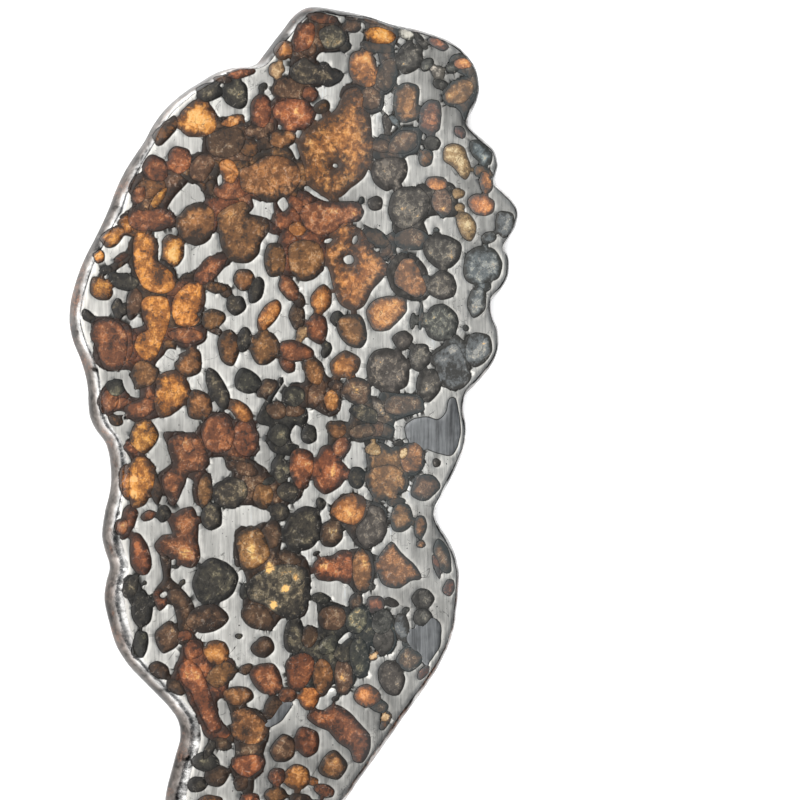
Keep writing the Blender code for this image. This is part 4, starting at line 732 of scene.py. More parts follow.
def bridges(grains):
    """Strips across the narrow gaps between neighbours, each with the number of the grain that it widens."""
    tree = tree_of(np.concatenate([grain.outline for grain in grains]))
    labels = np.repeat(np.arange(len(grains)), [len(grain.outline) for grain in grains])
    made = []
    for number, grain in enumerate(grains):
        if grain.tone == "iron":
            continue
        reached = {}
        for i, (x, y) in enumerate(grain.outline):
            for spot, label, distance in tree.find_range((x, y, 0), BRIDGE_GAP):
                other = labels[label]
                if other > number and grains[other].tone != "iron":
                    best = reached.setdefault(other, {})
                    if i not in best or distance < best[i][1]:
                        best[i] = (spot[:2], distance)
        for best in reached.values():
            for run in runs(sorted(best), len(grain.outline)):
                near = grain.outline[run]
                far = np.array([best[i][0] for i in run])
                across = far - near
                across /= np.maximum(np.linalg.norm(across, axis=1, keepdims=True), 1e-6)
                strip = np.concatenate((near - across * BRIDGE_OVERLAP, (far + across * BRIDGE_OVERLAP)[::-1]))
                made.append((number, strip if turned(strip) > 0 else strip[::-1]))
    return made


def runs(numbers, count):
    """Consecutive numbers of a cycle, as lists of three or more."""
    left = set(numbers)
    made = []
    while left:
        first = left.pop()
        run = [first]
        while (run[-1] + 1) % count in left:
            run.append((run[-1] + 1) % count)
            left.discard(run[-1])
        while (run[0] - 1) % count in left:
            run.insert(0, (run[0] - 1) % count)
            left.discard(run[0])
        if len(run) > 2:
            made.append(run)
    return made


def fill_points(low, high, chance):
    """Scattered points over the slice's box, about FILL_STEP apart."""
    made = []
    row = 0
    y = low[1]
    while y < high[1]:
        x = low[0] + (FILL_STEP / 2 if row % 2 else 0)
        while x < high[0]:
            shift_x, shift_y = (chance.uniform(-FILL_JITTER, FILL_JITTER) * FILL_STEP for _ in "xy")
            made.append((x + shift_x, y + shift_y))
            x += FILL_STEP
        y += FILL_STEP * FILL_ROWS
        row += 1
    return np.array(made)


def kept_clear(points, others, gap):
    """The points that lie no nearer than gap to any of the others."""
    return points[distances_to(points, others) > gap]


def edge_users(triangles):
    """For each edge of the plan, the numbers of the triangles that share it."""
    users = {}
    for t, corners in enumerate(triangles):
        for i in range(3):
            edge = tuple(sorted((corners[i], corners[(i + 1) % 3])))
            users.setdefault(edge, []).append(t)
    return users


class Sheet:
    """The slice's plan as triangles, each with its owner: -1 for metal, or the number of its crystal."""

    def __init__(self, widest, front, grains, chance):
        self.widest = widest
        self.front = front
        strips = bridges(grains)
        owners = [-1 if g.tone == "iron" else k for k, g in enumerate(grains)] + [k for k, _ in strips]
        loops = [widest] + [grain.outline for grain in grains] + [strip for _, strip in strips]
        hard = np.concatenate(loops + [front])
        rim = np.concatenate([widest + (front_near(widest, front) - widest) * share for share in RIM_SHARES])
        bevel = offset(front, -EDGE_BEVEL)
        seams = np.concatenate([offset(g.outline, side * GROOVE_HALF) for g in grains for side in (-1, 1)])
        seams = seams[inside(seams, front)]
        soft = kept_clear(np.concatenate((rim, bevel, seams)), hard, GROOVE_HALF * 0.72)
        fill = fill_points(widest.min(0), widest.max(0), chance)
        fill = fill[inside(fill, front)]
        fill = kept_clear(fill, np.concatenate((hard, soft)), FILL_STEP * 0.5)
        verts = np.concatenate((hard, soft, fill))
        faces = []
        start = 0
        for loop in loops:
            faces.append(list(range(start, start + len(loop))))
            start += len(loop)
        edges = [(start + i, start + (i + 1) % len(front)) for i in range(len(front))]
        made = geometry.delaunay_2d_cdt([Vector(v) for v in verts], edges, faces, 1, 1e-4, True)
        self.points = np.array([v[:] for v in made[0]])
        self.triangles = np.array([f for f in made[2]])
        middles = Field(self.points[self.triangles].mean(1))
        self.owner = np.full(len(self.triangles), -1)
        for loop, owner in reversed(list(zip(loops[1:], owners))):
            self.owner[middles.held(loop)] = owner
        keep = np.zeros(len(self.triangles), bool)
        keep[middles.held(widest)] = True
        self.triangles, self.owner = self.triangles[keep], self.owner[keep]
        self.absorb_scraps()
        self.measure()

    def absorb_scraps(self):
        """Small separate leftovers of a crystal that others cut are given to the metal."""
        tri, pts = self.triangles, self.points
        a, b, c = pts[tri[:, 0]], pts[tri[:, 1]], pts[tri[:, 2]]
        area = 0.5 * np.abs((b - a)[:, 0] * (c - a)[:, 1] - (b - a)[:, 1] * (c - a)[:, 0])
        links = [[] for _ in tri]
        for pair in edge_users(tri).values():
            if len(pair) == 2 and self.owner[pair[0]] == self.owner[pair[1]]:
                links[pair[0]].append(pair[1])
                links[pair[1]].append(pair[0])
        seen = np.zeros(len(tri), bool)
        for t in range(len(tri)):
            if seen[t] or self.owner[t] < 0:
                continue
            scrap = [t]
            seen[t] = True
            for member in scrap:
                for other in links[member]:
                    if not seen[other]:
                        seen[other] = True
                        scrap.append(other)
            if area[scrap].sum() < SMALLEST_PIECE:
                self.owner[scrap] = -1

    def measure(self):
        """Distances that the heights and the materials need, for each point."""
        owner = self.owner.tolist()
        sides = ((edge, [owner[t] for t in users]) for edge, users in edge_users(self.triangles).items())
        seams = [(edge, min(owners)) for edge, owners in sides if len(owners) == 2 and owners[0] != owners[1]]
        iron = sorted({v for edge, lowest in seams if lowest < 0 for v in edge})
        shared = sorted({v for edge, lowest in seams if lowest >= 0 for v in edge})
        self.iron_distance = distances_to(self.points, self.points[iron])
        self.joint_distance = distances_to(self.points, self.points[shared])
        to_widest = distances_to(self.points, densely(self.widest))
        to_front = distances_to(self.points, densely(self.front))
        face = inside(self.points, self.front)
        self.rim_share = np.where(face, 1.0, to_widest / np.maximum(to_widest + to_front, 1e-6))
        self.from_front = np.where(face, to_front, -to_front)
        self.from_widest = to_widest
        self.shade = patchwork(self.points, SHADES)
        self.dull_and_shaded = patchwork(self.points, DULL_AND_SHADED_METAL)
        self.rust = patchwork(self.points, RIM_RUST)
        self.shade_and_tarnish = np.clip(patchwork(self.points, RIM_SHADE_AND_TARNISH), 0, MOST_RIM_SHADE)


def patchwork(points, rows):
    """The sum of soft round patches, from rows of x, y, reach and strength."""
    total = np.zeros(len(points))
    for x, y, reach, strength in rows:
        near = np.linalg.norm(points - plan(x, y), axis=1) / reach
        total += strength * np.clip(1 - near**2, 0, 1) ** 2
    return total


def front_near(widest, front):
    """For each point of the widest outline, the nearest point on the face's edge."""
    a = front
    b = np.roll(front, -1, axis=0)
    ab = b - a
    square = np.maximum((ab**2).sum(1), 1e-12)
    t = np.clip(((widest[:, None, :] - a) * ab).sum(2) / square, 0, 1)
    near = a + t[..., None] * ab
    best = ((widest[:, None, :] - near) ** 2).sum(2).argmin(1)
    return near[np.arange(len(widest)), best]


# Heights and solids

def wave_noise(points, scale, phase):
    """Smooth shallow unevenness between -1 and 1."""
    x, y = points[:, 0] / scale, points[:, 1] / scale
    return (
        np.sin(1.3 * x + 2.1 * y + phase) + np.sin(-2.2 * x + 1.1 * y + 2 * phase)
        + np.sin(0.7 * x - 2.7 * y + 3 * phase) + np.sin(3.1 * x + 0.4 * y + 5 * phase)
    ) / 4


def groove_share(sheet):
    """1 along the seams with the metal, less where two crystals meet, 0 away from both."""
    iron = np.clip(1 - sheet.iron_distance / GROOVE_HALF, 0, 1)
    joint = np.clip(1 - sheet.joint_distance / GROOVE_HALF, 0, 1)
    return np.maximum(iron, JOINT_SHARE * joint)


def top_heights(sheet):
    """The polished face, and the rounded, slightly lumpy rim that rises to it from the widest place."""
    share = np.clip(sheet.rim_share, 0, 1)
    rise = (1 - (1 - RIM_REACH * share) ** RIM_CURVE) ** (1 / RIM_CURVE)
    rise = rise / (1 - (1 - RIM_REACH) ** RIM_CURVE) ** (1 / RIM_CURVE)
    low = WIDEST_HEIGHT + RIDGE_HALF
    height = low + (FACE_HEIGHT - low) * rise
    bumps = wave_noise(sheet.points, 1.6, 0.4) * 0.16 + wave_noise(sheet.points, 0.7, 1.9) * 0.06
    height += bumps * np.sin(np.pi * share)
    on_face = sheet.from_front > 0
    bevel = np.clip(1 - sheet.from_front / EDGE_BEVEL, 0, 1)
    height = np.where(on_face, FACE_HEIGHT - FACE_DROP * bevel, np.minimum(height, FACE_HEIGHT - FACE_DROP))
    return height - GROOVE_DEPTH * groove_share(sheet)


def back_heights(sheet):
    """The flat back face, rounded up to the widest place."""
    near = np.clip(1 - sheet.from_widest / BACK_ROUNDING, 0, 1)
    height = (WIDEST_HEIGHT - RIDGE_HALF) * (1 - np.sqrt(np.maximum(1 - near**2, 0)))
    return height + GROOVE_DEPTH * 0.6 * groove_share(sheet)


def solid(name, sheet, tops, backs, chosen, attributes):
    """A closed mesh of the chosen triangles, from the back face to the polished face."""
    tri = sheet.triangles[chosen]
    used, local = np.unique(tri, return_inverse=True)
    tri = local.reshape(tri.shape)
    count = len(used)
    sides = dict.fromkeys((a, b) for corners in tri.tolist() for a, b in zip(corners, corners[1:] + corners[:1]))
    border = [(a, b) for a, b in sides if (b, a) not in sides]
    plan_points = sheet.points[used].copy()
    inward = np.zeros((count, 2))
    for a, b in border:
        along = plan_points[b] - plan_points[a]
        along /= max(np.linalg.norm(along), 1e-9)
        side = np.array((-along[1], along[0]))
        inward[a] += side
        inward[b] += side
    length = np.linalg.norm(inward, axis=1, keepdims=True)
    outer = sheet.from_widest[used] < 1e-3
    step = np.where(length > 1e-6, inward / np.maximum(length, 1e-6), 0) * CLEARANCE
    step[outer] = 0
    plan_points += step
    low, high = np.array(CAD_BOX[0]) / MM, np.array(CAD_BOX[1]) / MM
    plan_points = np.clip(plan_points, low[:2] + BOX_MARGIN, high[:2] - BOX_MARGIN)
    verts = np.concatenate([np.column_stack((plan_points, heights[used])) for heights in (tops, backs)]) * MM
    faces = [tuple(corners) for corners in tri.tolist()]
    faces += [(c + count, b + count, a + count) for a, b, c in tri.tolist()]
    faces += [(a + count, b + count, b, a) for a, b in border]
    mesh = bpy.data.meshes.new(name)
    mesh.from_pydata([tuple(v) for v in verts], [], faces)
    for attribute, values in attributes.items():
        data = mesh.attributes.new(attribute, "FLOAT", "POINT").data
        data.foreach_set("value", np.tile(values[used], 2).astype(np.float32))
    mesh.validate()
    return mesh


def placed(name, data):
    """A new object in the scene, at the origin."""
    made = bpy.data.objects.new(name, data)
    bpy.context.scene.collection.objects.link(made)
    return made


def finished(name, mesh, finish):
    """A piece of the slice from its mesh and its material."""
    made = placed(name, mesh)
    mesh.materials.clear()
    mesh.materials.append(finish)
    mesh.shade_smooth()
    mesh.set_sharp_from_angle(angle=SHARP_ANGLE)
    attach(made, "root")
    return made


# Shader groups

class Tree:
    """Short calls for building a node tree."""

    def __init__(self, tree):
        self.tree = tree
        self.nodes = tree.nodes

    def add(self, kind, **settings):
        node = self.nodes.new(kind)
        for key, value in settings.items():
            setattr(node, key, value)
        return node

    def put(self, value, socket):
        if isinstance(value, bpy.types.NodeSocket):
            self.tree.links.new(value, socket)
        else:
            socket.default_value = value

    def math(self, operation, a, b=0.0, c=0.0):
        node = self.add("ShaderNodeMath", operation=operation)
        for value, socket in zip((a, b, c), node.inputs):
            self.put(value, socket)
        return node.outputs[0]

    def sum(self, *values):
        total = values[0]
        for value in values[1:]:
            total = self.math("ADD", total, value)
        return total

    def times(self, *values):
        total = values[0]
        for value in values[1:]:
            total = self.math("MULTIPLY", total, value)
        return total

    def centred(self, value, gain):
        """A 0 to 1 pattern made to swing about zero."""
        return self.times(self.math("SUBTRACT", value, 0.5), gain)

    def ramp(self, value, low, high, out_low=0.0, out_high=1.0):
        """A smooth step from out_low to out_high as the value goes from low to high."""
        node = self.add("ShaderNodeMapRange", interpolation_type="SMOOTHSTEP")
        names = ("Value", "From Min", "From Max", "To Min", "To Max")
        for given, name in zip((value, low, high, out_low, out_high), names):
            self.put(given, node.inputs[name])
        return node.outputs["Result"]

    def mix(self, share, a, b, blend="MIX"):
        node = self.add("ShaderNodeMix", data_type="RGBA", blend_type=blend)
        for value, index in ((share, 0), (a, 6), (b, 7)):
            self.put(value, node.inputs[index])
        return node.outputs[2]

    def blend(self, share, a, b):
        """A plain number between a and b."""
        node = self.add("ShaderNodeMix", data_type="FLOAT")
        for value, index in ((share, 0), (a, 2), (b, 3)):
            self.put(value, node.inputs[index])
        return node.outputs[0]

    def scaled(self, color, gain):
        node = self.add("ShaderNodeVectorMath", operation="SCALE")
        self.put(color, node.inputs[0])
        self.put(gain, node.inputs["Scale"])
        return node.outputs[0]

    def noise(self, place, per_mm, detail=2.0, rough=0.5, distortion=0.0):
        """Soft noise with about this many swings a millimetre."""
        node = self.add("ShaderNodeTexNoise")
        values = (place, per_mm / MM, detail, rough, distortion)
        for value, name in zip(values, ("Vector", "Scale", "Detail", "Roughness", "Distortion")):
            self.put(value, node.inputs[name])
        return node.outputs["Fac"]

    def cells(self, place, per_mm, feature="F1"):
        """Angular cells, about this many a millimetre."""
        node = self.add("ShaderNodeTexVoronoi", feature=feature)
        self.put(place, node.inputs["Vector"])
        self.put(per_mm / MM, node.inputs["Scale"])
        return node.outputs

    def pushed(self, place, pattern, reach):
        """The place shifted by a pattern, by up to reach millimetres, so that lines through it wander."""
        node = self.add("ShaderNodeVectorMath", operation="ADD")
        self.put(place, node.inputs[0])
        self.put(self.centred(pattern, 2 * reach * MM), node.inputs[1])
        return node.outputs[0]

    def hairlines(self, place, pattern, reach, per_mm, width, gate):
        """Fine wandering lines: 1 on a line and 0 beside it, and none where the gate is 0."""
        cells = self.cells(self.pushed(place, pattern, reach), per_mm, "DISTANCE_TO_EDGE")
        return self.times(self.ramp(cells["Distance"], *width, 1.0, 0.0), gate)

    def attribute(self, name):
        return self.add("ShaderNodeAttribute", attribute_name=name).outputs["Fac"]

    def use(self, tree, values):
        node = self.add("ShaderNodeGroup", node_tree=tree)
        for label, value in values.items():
            self.put(value, node.inputs[label])
        return node.outputs

    def bump(self, height, depth):
        node = self.add("ShaderNodeBump")
        self.put(depth * MM, node.inputs["Distance"])
        self.put(height, node.inputs["Height"])
        return node.outputs["Normal"]


def shader_group(name, inputs, outputs):
    """A new shader group, with the sockets inside it that give and take its values."""
    tree = bpy.data.node_groups.new(name, "ShaderNodeTree")
    for label, kind, value in inputs:
        socket = tree.interface.new_socket(label, in_out="INPUT", socket_type=kind)
        socket.default_value = value
    for label, kind in outputs:
        tree.interface.new_socket(label, in_out="OUTPUT", socket_type=kind)
    built = Tree(tree)
    return built, built.add("NodeGroupInput").outputs, built.add("NodeGroupOutput").inputs


COLOR, FLOAT, VECTOR = "NodeSocketColor", "NodeSocketFloat", "NodeSocketVector"


def crystal_group():
    """Olivine seen through its polished face: dark rim, mottled body, granular core with painted glitter and painted
    glints, fine fractures.
    """
    t, given, out = shader_group(
        "olivine interior",
        (
            ("Place", VECTOR, (0, 0, 0)), ("Edge", FLOAT, 1.0), ("Joint", FLOAT, 1.0), ("Seed", FLOAT, 0.0),
            ("Level", FLOAT, 0.5), ("Rim Color", COLOR, (0, 0, 0, 1)), ("Body Color", COLOR, (0.5, 0.2, 0.1, 1)),
            ("Core Color", COLOR, (1, 0.6, 0.2, 1)), ("Granule Contrast", FLOAT, 0.7), ("Reflection Veil", FLOAT, 0.0),
            ("Rim Depth", FLOAT, 0.4),
        ),
        (("Color", COLOR), ("Roughness", FLOAT), ("Height", FLOAT)),
    )
    place, edge = given["Place"], given["Edge"]
    slow = t.noise(place, 0.40, 2.0, 0.5, 0.6)
    mid = t.noise(place, 1.1, 2.0, 0.6, 0.4)
    fine = t.noise(place, 3.6, 3.0, 0.75, 0.2)

    # How deep into a crystal's glow each place is: its dark rim, its body, its core or a glint.
    granules = t.cells(t.pushed(place, fine, 0.3), 2.4)
    chip_place = t.pushed(place, mid, 0.8)
    chips = t.cells(chip_place, 0.85)
    chip_edges = t.cells(chip_place, 0.85, "DISTANCE_TO_EDGE")
    swings = t.sum(t.centred(fine, 1.0), t.centred(granules["Color"], 0.22), t.centred(chips["Color"], 0.42))
    swings = t.times(swings, given["Granule Contrast"])
    depth = t.sum(t.ramp(edge, 0.05, 1.4, -0.32, 0.15), t.ramp(given["Joint"], 0.0, 0.6, -0.20, 0.03))
    level = t.sum(given["Level"], t.centred(slow, 1.4), t.centred(mid, 1.15), swings, depth)
    color = t.mix(t.ramp(level, 0.02, 0.50, 0.08, 1.0), given["Rim Color"], given["Body Color"])
    color = t.mix(t.ramp(level, 0.50, 0.98), color, given["Core Color"])
    color = t.mix(t.ramp(level, 1.02, 1.45), color, GLINT)

    # Painted glitter highlights along chip edges inside, and the dark line round the crystal and along its joints
    # with others.
    painted_glitter = t.times(t.ramp(chip_edges["Distance"], 0.01, 0.06, 1.0, 0.0), t.ramp(level, 0.55, 0.95))
    color = t.mix(t.times(painted_glitter, 0.38), color, t.mix(0.45, given["Core Color"], PAINTED_GLITTER_TINT))
    wavy_edge = t.sum(edge, t.times(t.centred(mid, 1.6), given["Rim Depth"]), t.centred(fine, 0.25))
    color = t.mix(t.ramp(wavy_edge, 0.0, given["Rim Depth"]), given["Rim Color"], color)
    joint_line = t.ramp(t.sum(given["Joint"], t.centred(fine, 0.2)), 0.0, 0.16, 0.45, 0.0)
    color = t.mix(joint_line, color, given["Rim Color"])
    color = t.mix(1.0, color, t.mix(given["Seed"], *CRYSTAL_TINTS), "MULTIPLY")

    # Fractures, pale veins, the painted grey reflection veil towards the right edge, and painted glints.
    crack = t.hairlines(place, mid, 1.1, 0.36, (0.008, 0.026), t.ramp(slow, 0.46, 0.56))
    color = t.mix(t.times(crack, 0.62), color, given["Rim Color"])
    vein = t.hairlines(place, mid, 1.6, 0.23, (0.004, 0.014), t.ramp(mid, 0.5, 0.6))
    color = t.mix(t.times(vein, 0.3), color, VEIN_COLOR)
    # painted reflection veil: grey added to the colour towards the right edge
    parts = t.add("ShaderNodeSeparateXYZ")
    t.put(place, parts.inputs[0])
    color = t.mix(t.times(t.ramp(parts.outputs["X"], REFLECTION_VEIL_FROM, REFLECTION_VEIL_TO), given["Reflection Veil"]), color, REFLECTION_VEIL, "ADD")
    # painted glints: rare tiny bright highlight specks in the crystals
    glint_cells = t.cells(place, 3.4)
    chosen = t.times(t.ramp(glint_cells["Color"], 0.90, 0.95), t.ramp(level, 0.25, 0.70))
    painted_glint = t.times(chosen, t.ramp(glint_cells["Distance"], 0.12, 0.34, 1.0, 0.0))
    color = t.mix(t.times(painted_glint, 0.9), color, t.mix(0.5, given["Core Color"], PAINTED_GLINT_TINT))

    t.put(color, out["Color"])
    t.put(t.ramp(mid, 0.35, 0.7, 0.10, 0.26), out["Roughness"])
    t.put(t.sum(t.centred(fine, 0.6), t.times(crack, -0.5)), out["Height"])
    return t.tree


def grinding_group():
    """Straight grinding lines along Y, in three widths, and the metal's patchy tone."""
    t, given, out = shader_group(
        "grinding lines",
        (("Place", VECTOR, (0, 0, 0)),),
        (("Tone", FLOAT), ("Scratches", FLOAT)),
    )
    stretched = t.add("ShaderNodeVectorMath", operation="MULTIPLY")
    t.put(given["Place"], stretched.inputs[0])
    stretched.inputs[1].default_value = (1.0, 0.05, 1.0)
    bands = t.noise(stretched.outputs[0], 0.8, 2.0, 0.6)
    streaks = t.noise(stretched.outputs[0], 3.0, 3.0, 0.75)
    scratches = t.noise(stretched.outputs[0], 10.0, 2.0, 0.6)
    clouds = t.noise(given["Place"], 0.35, 3.0, 0.6)
    metal_grains = t.cells(given["Place"], 0.15)
    tone = t.sum(
        1.0, t.centred(bands, 0.80), t.centred(streaks, 0.95), t.centred(scratches, 0.30), t.centred(clouds, 0.50),
        t.centred(metal_grains["Color"], 0.08),
    )
    t.put(tone, out["Tone"])
    t.put(t.sum(t.times(scratches, 0.5), t.times(streaks, 0.5)), out["Scratches"])
    return t.tree


def new_material(name):
    """A material with its node calls, its shader's sockets, and the place on the object."""
    made = bpy.data.materials.new(name)
    made.use_nodes = True
    made.node_tree.nodes.clear()
    t = Tree(made.node_tree)
    shader = t.add("ShaderNodeBsdfPrincipled")
    t.put(shader.outputs[0], t.add("ShaderNodeOutputMaterial").inputs["Surface"])
    place = t.add("ShaderNodeTexCoord").outputs["Object"]
    return made, t, shader.inputs, place


def crystal_material(tone, interior):
    rim, body, core, level, contrast, clearness, reflection_veil = TONES[tone]
    made, t, shader, place = new_material(f"{tone} olivine")
    own_level = t.sum(level, t.centred(t.attribute("glow"), 0.4), t.attribute("shade"))
    values = t.use(interior, {
        "Place": place, "Edge": t.attribute("edge"), "Joint": t.attribute("joint"), "Seed": t.attribute("seed"),
        "Level": own_level, "Rim Color": (*rim, 1), "Body Color": (*body, 1), "Core Color": (*core, 1),
        "Granule Contrast": contrast, "Reflection Veil": reflection_veil, "Rim Depth": t.attribute("rim_depth"),
    })
    t.put(values["Color"], shader["Base Color"])
    t.put(values["Roughness"], shader["Roughness"])
    t.put(t.bump(values["Height"], 0.03), shader["Normal"])
    shader["IOR"].default_value = OLIVINE_IOR
    shader["Specular IOR Level"].default_value = 0.35
    shader["Transmission Weight"].default_value = clearness
    return made


def iron_material(grinding):
    """Ground iron-nickel: upright grinding lines on the face; a smooth, stained rim with a painted highlight near the
    face and painted shade lower down, and painted shade with some tarnish where it turns from the light.
    """
    made, t, shader, place = new_material("ground iron-nickel")
    lines = t.use(grinding, {"Place": place})
    rim = t.attribute("rim")
    on_rim = t.ramp(rim, 0.0, 0.05)
    lower_rim = t.ramp(rim, 0.40, 0.85)
    seam = t.ramp(t.attribute("edge"), 0.02, 0.17, 0.10, 1.0)
    clouds = t.noise(place, 0.30, 3.0, 0.6, 0.5)
    flecks = t.noise(place, 1.6, 3.0, 0.7)

    hair = t.hairlines(place, clouds, 5, 0.15, (0.003, 0.014), t.ramp(clouds, 0.50, 0.58))
    face_tone = t.times(lines["Tone"], t.math("SUBTRACT", seam, t.times(hair, 0.55)))
    # painted shade: darker patches of the face, partly duller metal
    face_tone = t.times(t.math("MAXIMUM", face_tone, 0.03), t.sum(1.0, t.attribute("dull_and_shaded")))
    face = t.scaled(IRON_COLOR, face_tone)

    # painted highlight along the rim near the face, painted shade on its lower part and outer edge
    painted_sheen = t.times(t.ramp(rim, 0.40, 0.85, 0.60, 0.13), t.ramp(rim, 0.82, 1.0, 1.0, 0.45))
    rim_tone = t.times(painted_sheen, t.sum(0.95, t.centred(clouds, 4.6), t.centred(flecks, 1.6)))
    # painted shade where the rim turns from the light, with some tarnish
    kept_sheen = t.math("SUBTRACT", 1.0, t.attribute("shade_and_tarnish"))
    rim_tone = t.times(t.math("MAXIMUM", rim_tone, 0.025), seam, kept_sheen)
    rim_color = t.scaled(t.mix(lower_rim, RIM_UPPER_TINT, RIM_LOWER_TINT), rim_tone)
    blots = t.ramp(t.noise(place, 0.22, 3.0, 0.6), 0.54, 0.64, 0.0, 0.6)
    blots = t.times(blots, t.ramp(rim, 0.35, 0.7, 0.3, 1.0))
    stain = t.times(t.sum(blots, t.attribute("rust")), t.ramp(flecks, 0.25, 0.6))
    stain = t.math("MINIMUM", stain, 1.0)
    rust = t.mix(t.ramp(flecks, 0.4, 0.65), RUST_DEEP, RUST_BRIGHT)
    rim_color = t.mix(t.times(stain, 0.85), rim_color, rust)

    t.put(t.mix(on_rim, face, rim_color), shader["Base Color"])
    t.put(t.math("SUBTRACT", 1.0, t.times(stain, on_rim, 0.6)), shader["Metallic"])
    rough = t.ramp(lines["Scratches"], 0.3, 0.7, 0.26, 0.42)
    t.put(t.blend(on_rim, rough, t.ramp(flecks, 0.3, 0.7, 0.12, 0.28)), shader["Roughness"])
    t.put(t.bump(t.blend(on_rim, lines["Scratches"], t.times(flecks, 1.6)), 0.02), shader["Normal"])
    return made


def troilite_material(grinding):
    """Dull patches in the metal: darker and softer, with the same grinding lines, more strongly marked."""
    made, t, shader, place = new_material("dull troilite")
    lines = t.use(grinding, {"Place": place})
    tone = t.times(t.math("POWER", lines["Tone"], 1.8), t.ramp(t.attribute("edge"), 0.02, 0.15, 0.5, 1.0))
    t.put(t.scaled(TROILITE_COLOR, tone), shader["Base Color"])
    shader["Metallic"].default_value = 1.0
    t.put(t.ramp(lines["Scratches"], 0.3, 0.7, 0.34, 0.46), shader["Roughness"])
    t.put(t.bump(lines["Scratches"], 0.02), shader["Normal"])
    return made


# Specks scattered over the metal

def speck_tree():
    """Geometry nodes: small flat chips scattered over the sheet that the modifier sits on."""
    tree = bpy.data.node_groups.new("scattered specks", "GeometryNodeTree")
    face = tree.interface
    face.new_socket("Geometry", in_out="INPUT", socket_type="NodeSocketGeometry")
    for label in ("Density", "Smallest", "Largest", "Narrowest", "Half Height"):
        face.new_socket(label, in_out="INPUT", socket_type=FLOAT)
    face.new_socket("Seed", in_out="INPUT", socket_type="NodeSocketInt")
    face.new_socket("Finish", in_out="INPUT", socket_type="NodeSocketMaterial")
    face.new_socket("Geometry", in_out="OUTPUT", socket_type="NodeSocketGeometry")
    nodes, link = tree.nodes, tree.links.new
    given = nodes.new("NodeGroupInput").outputs
    result = nodes.new("NodeGroupOutput").inputs
    scatter = nodes.new("GeometryNodeDistributePointsOnFaces")
    link(given["Geometry"], scatter.inputs["Mesh"])
    link(given["Density"], scatter.inputs["Density"])
    link(given["Seed"], scatter.inputs["Seed"])
    chip = nodes.new("GeometryNodeMeshIcoSphere")
    chip.inputs["Radius"].default_value = 1.0 * MM
    chip.inputs["Subdivisions"].default_value = 1
    length = nodes.new("FunctionNodeRandomValue")
    length.data_type = "FLOAT"
    link(given["Smallest"], length.inputs[2])
    link(given["Largest"], length.inputs[3])
    link(given["Seed"], length.inputs["Seed"])
    squeeze = nodes.new("FunctionNodeRandomValue")
    squeeze.data_type = "FLOAT"
    link(given["Narrowest"], squeeze.inputs[2])
    squeeze.inputs[3].default_value = 1.0
    width = nodes.new("ShaderNodeMath")
    width.operation = "MULTIPLY"
    link(length.outputs[1], width.inputs[0])
    link(squeeze.outputs[1], width.inputs[1])
    size = nodes.new("ShaderNodeCombineXYZ")
    link(length.outputs[1], size.inputs[0])
    link(width.outputs[0], size.inputs[1])
    link(given["Half Height"], size.inputs[2])
    turn = nodes.new("FunctionNodeRandomValue")
    turn.data_type = "FLOAT_VECTOR"
    turn.inputs[0].default_value = (0, 0, 0)
    turn.inputs[1].default_value = (0, 0, 2 * math.pi)
    place = nodes.new("GeometryNodeInstanceOnPoints")
    link(scatter.outputs["Points"], place.inputs["Points"])
    link(chip.outputs["Mesh"], place.inputs["Instance"])
    link(size.outputs[0], place.inputs["Scale"])
    link(turn.outputs[0], place.inputs["Rotation"])
    realized = nodes.new("GeometryNodeRealizeInstances")
    link(place.outputs["Instances"], realized.inputs["Geometry"])
    finish = nodes.new("GeometryNodeSetMaterial")
    link(realized.outputs["Geometry"], finish.inputs["Geometry"])
    link(given["Finish"], finish.inputs["Material"])
    link(finish.outputs["Geometry"], result["Geometry"])
    return tree


def make_specks(sheet, finish):
    """Tiny dark inclusions, flush in the metal well clear of the crystals."""
    tri = sheet.triangles[sheet.owner == -1]
    from_crystal, from_edge = sheet.iron_distance[tri].min(1), sheet.from_front[tri].min(1)
    tri = tri[(from_crystal > SPECK_FROM_CRYSTAL) & (from_edge > SPECK_FROM_EDGE)]
    used, local = np.unique(tri, return_inverse=True)
    heights = np.full(len(used), FACE_HEIGHT - SPECK_SINK)
    mesh = bpy.data.meshes.new("speck field")
    verts = np.column_stack((sheet.points[used], heights)) * MM
    mesh.from_pydata(verts.tolist(), [], local.reshape(tri.shape).tolist())
    field = placed("speck field", mesh)
    modifier = field.modifiers.new("specks", "NODES")
    modifier.node_group = speck_tree()
    sockets = modifier.node_group.interface.items_tree
    names = {socket.name: socket.identifier for socket in sockets if socket.in_out == "INPUT"}
    for label, value in (
        ("Density", SPECKS_PER_MM2 / MM**2), ("Smallest", SPECK_RADII[0]), ("Largest", SPECK_RADII[1]),
        ("Narrowest", SPECK_NARROWEST), ("Half Height", SPECK_HEIGHT), ("Seed", SEED), ("Finish", finish),
    ):
        modifier[names[label]] = value
    graph = bpy.context.evaluated_depsgraph_get()
    plain = bpy.data.meshes.new_from_object(field.evaluated_get(graph))
    bpy.data.objects.remove(field, do_unlink=True)
    for attribute, value in (("edge", 0.3), ("seed", 0.5), ("glow", 0.2), ("shade", 0.0)):
        data = plain.attributes.new(attribute, "FLOAT", "POINT").data
        data.foreach_set("value", np.full(len(plain.vertices), value, np.float32))
    finished("metal_specks", plain, finish)


# Making the slice

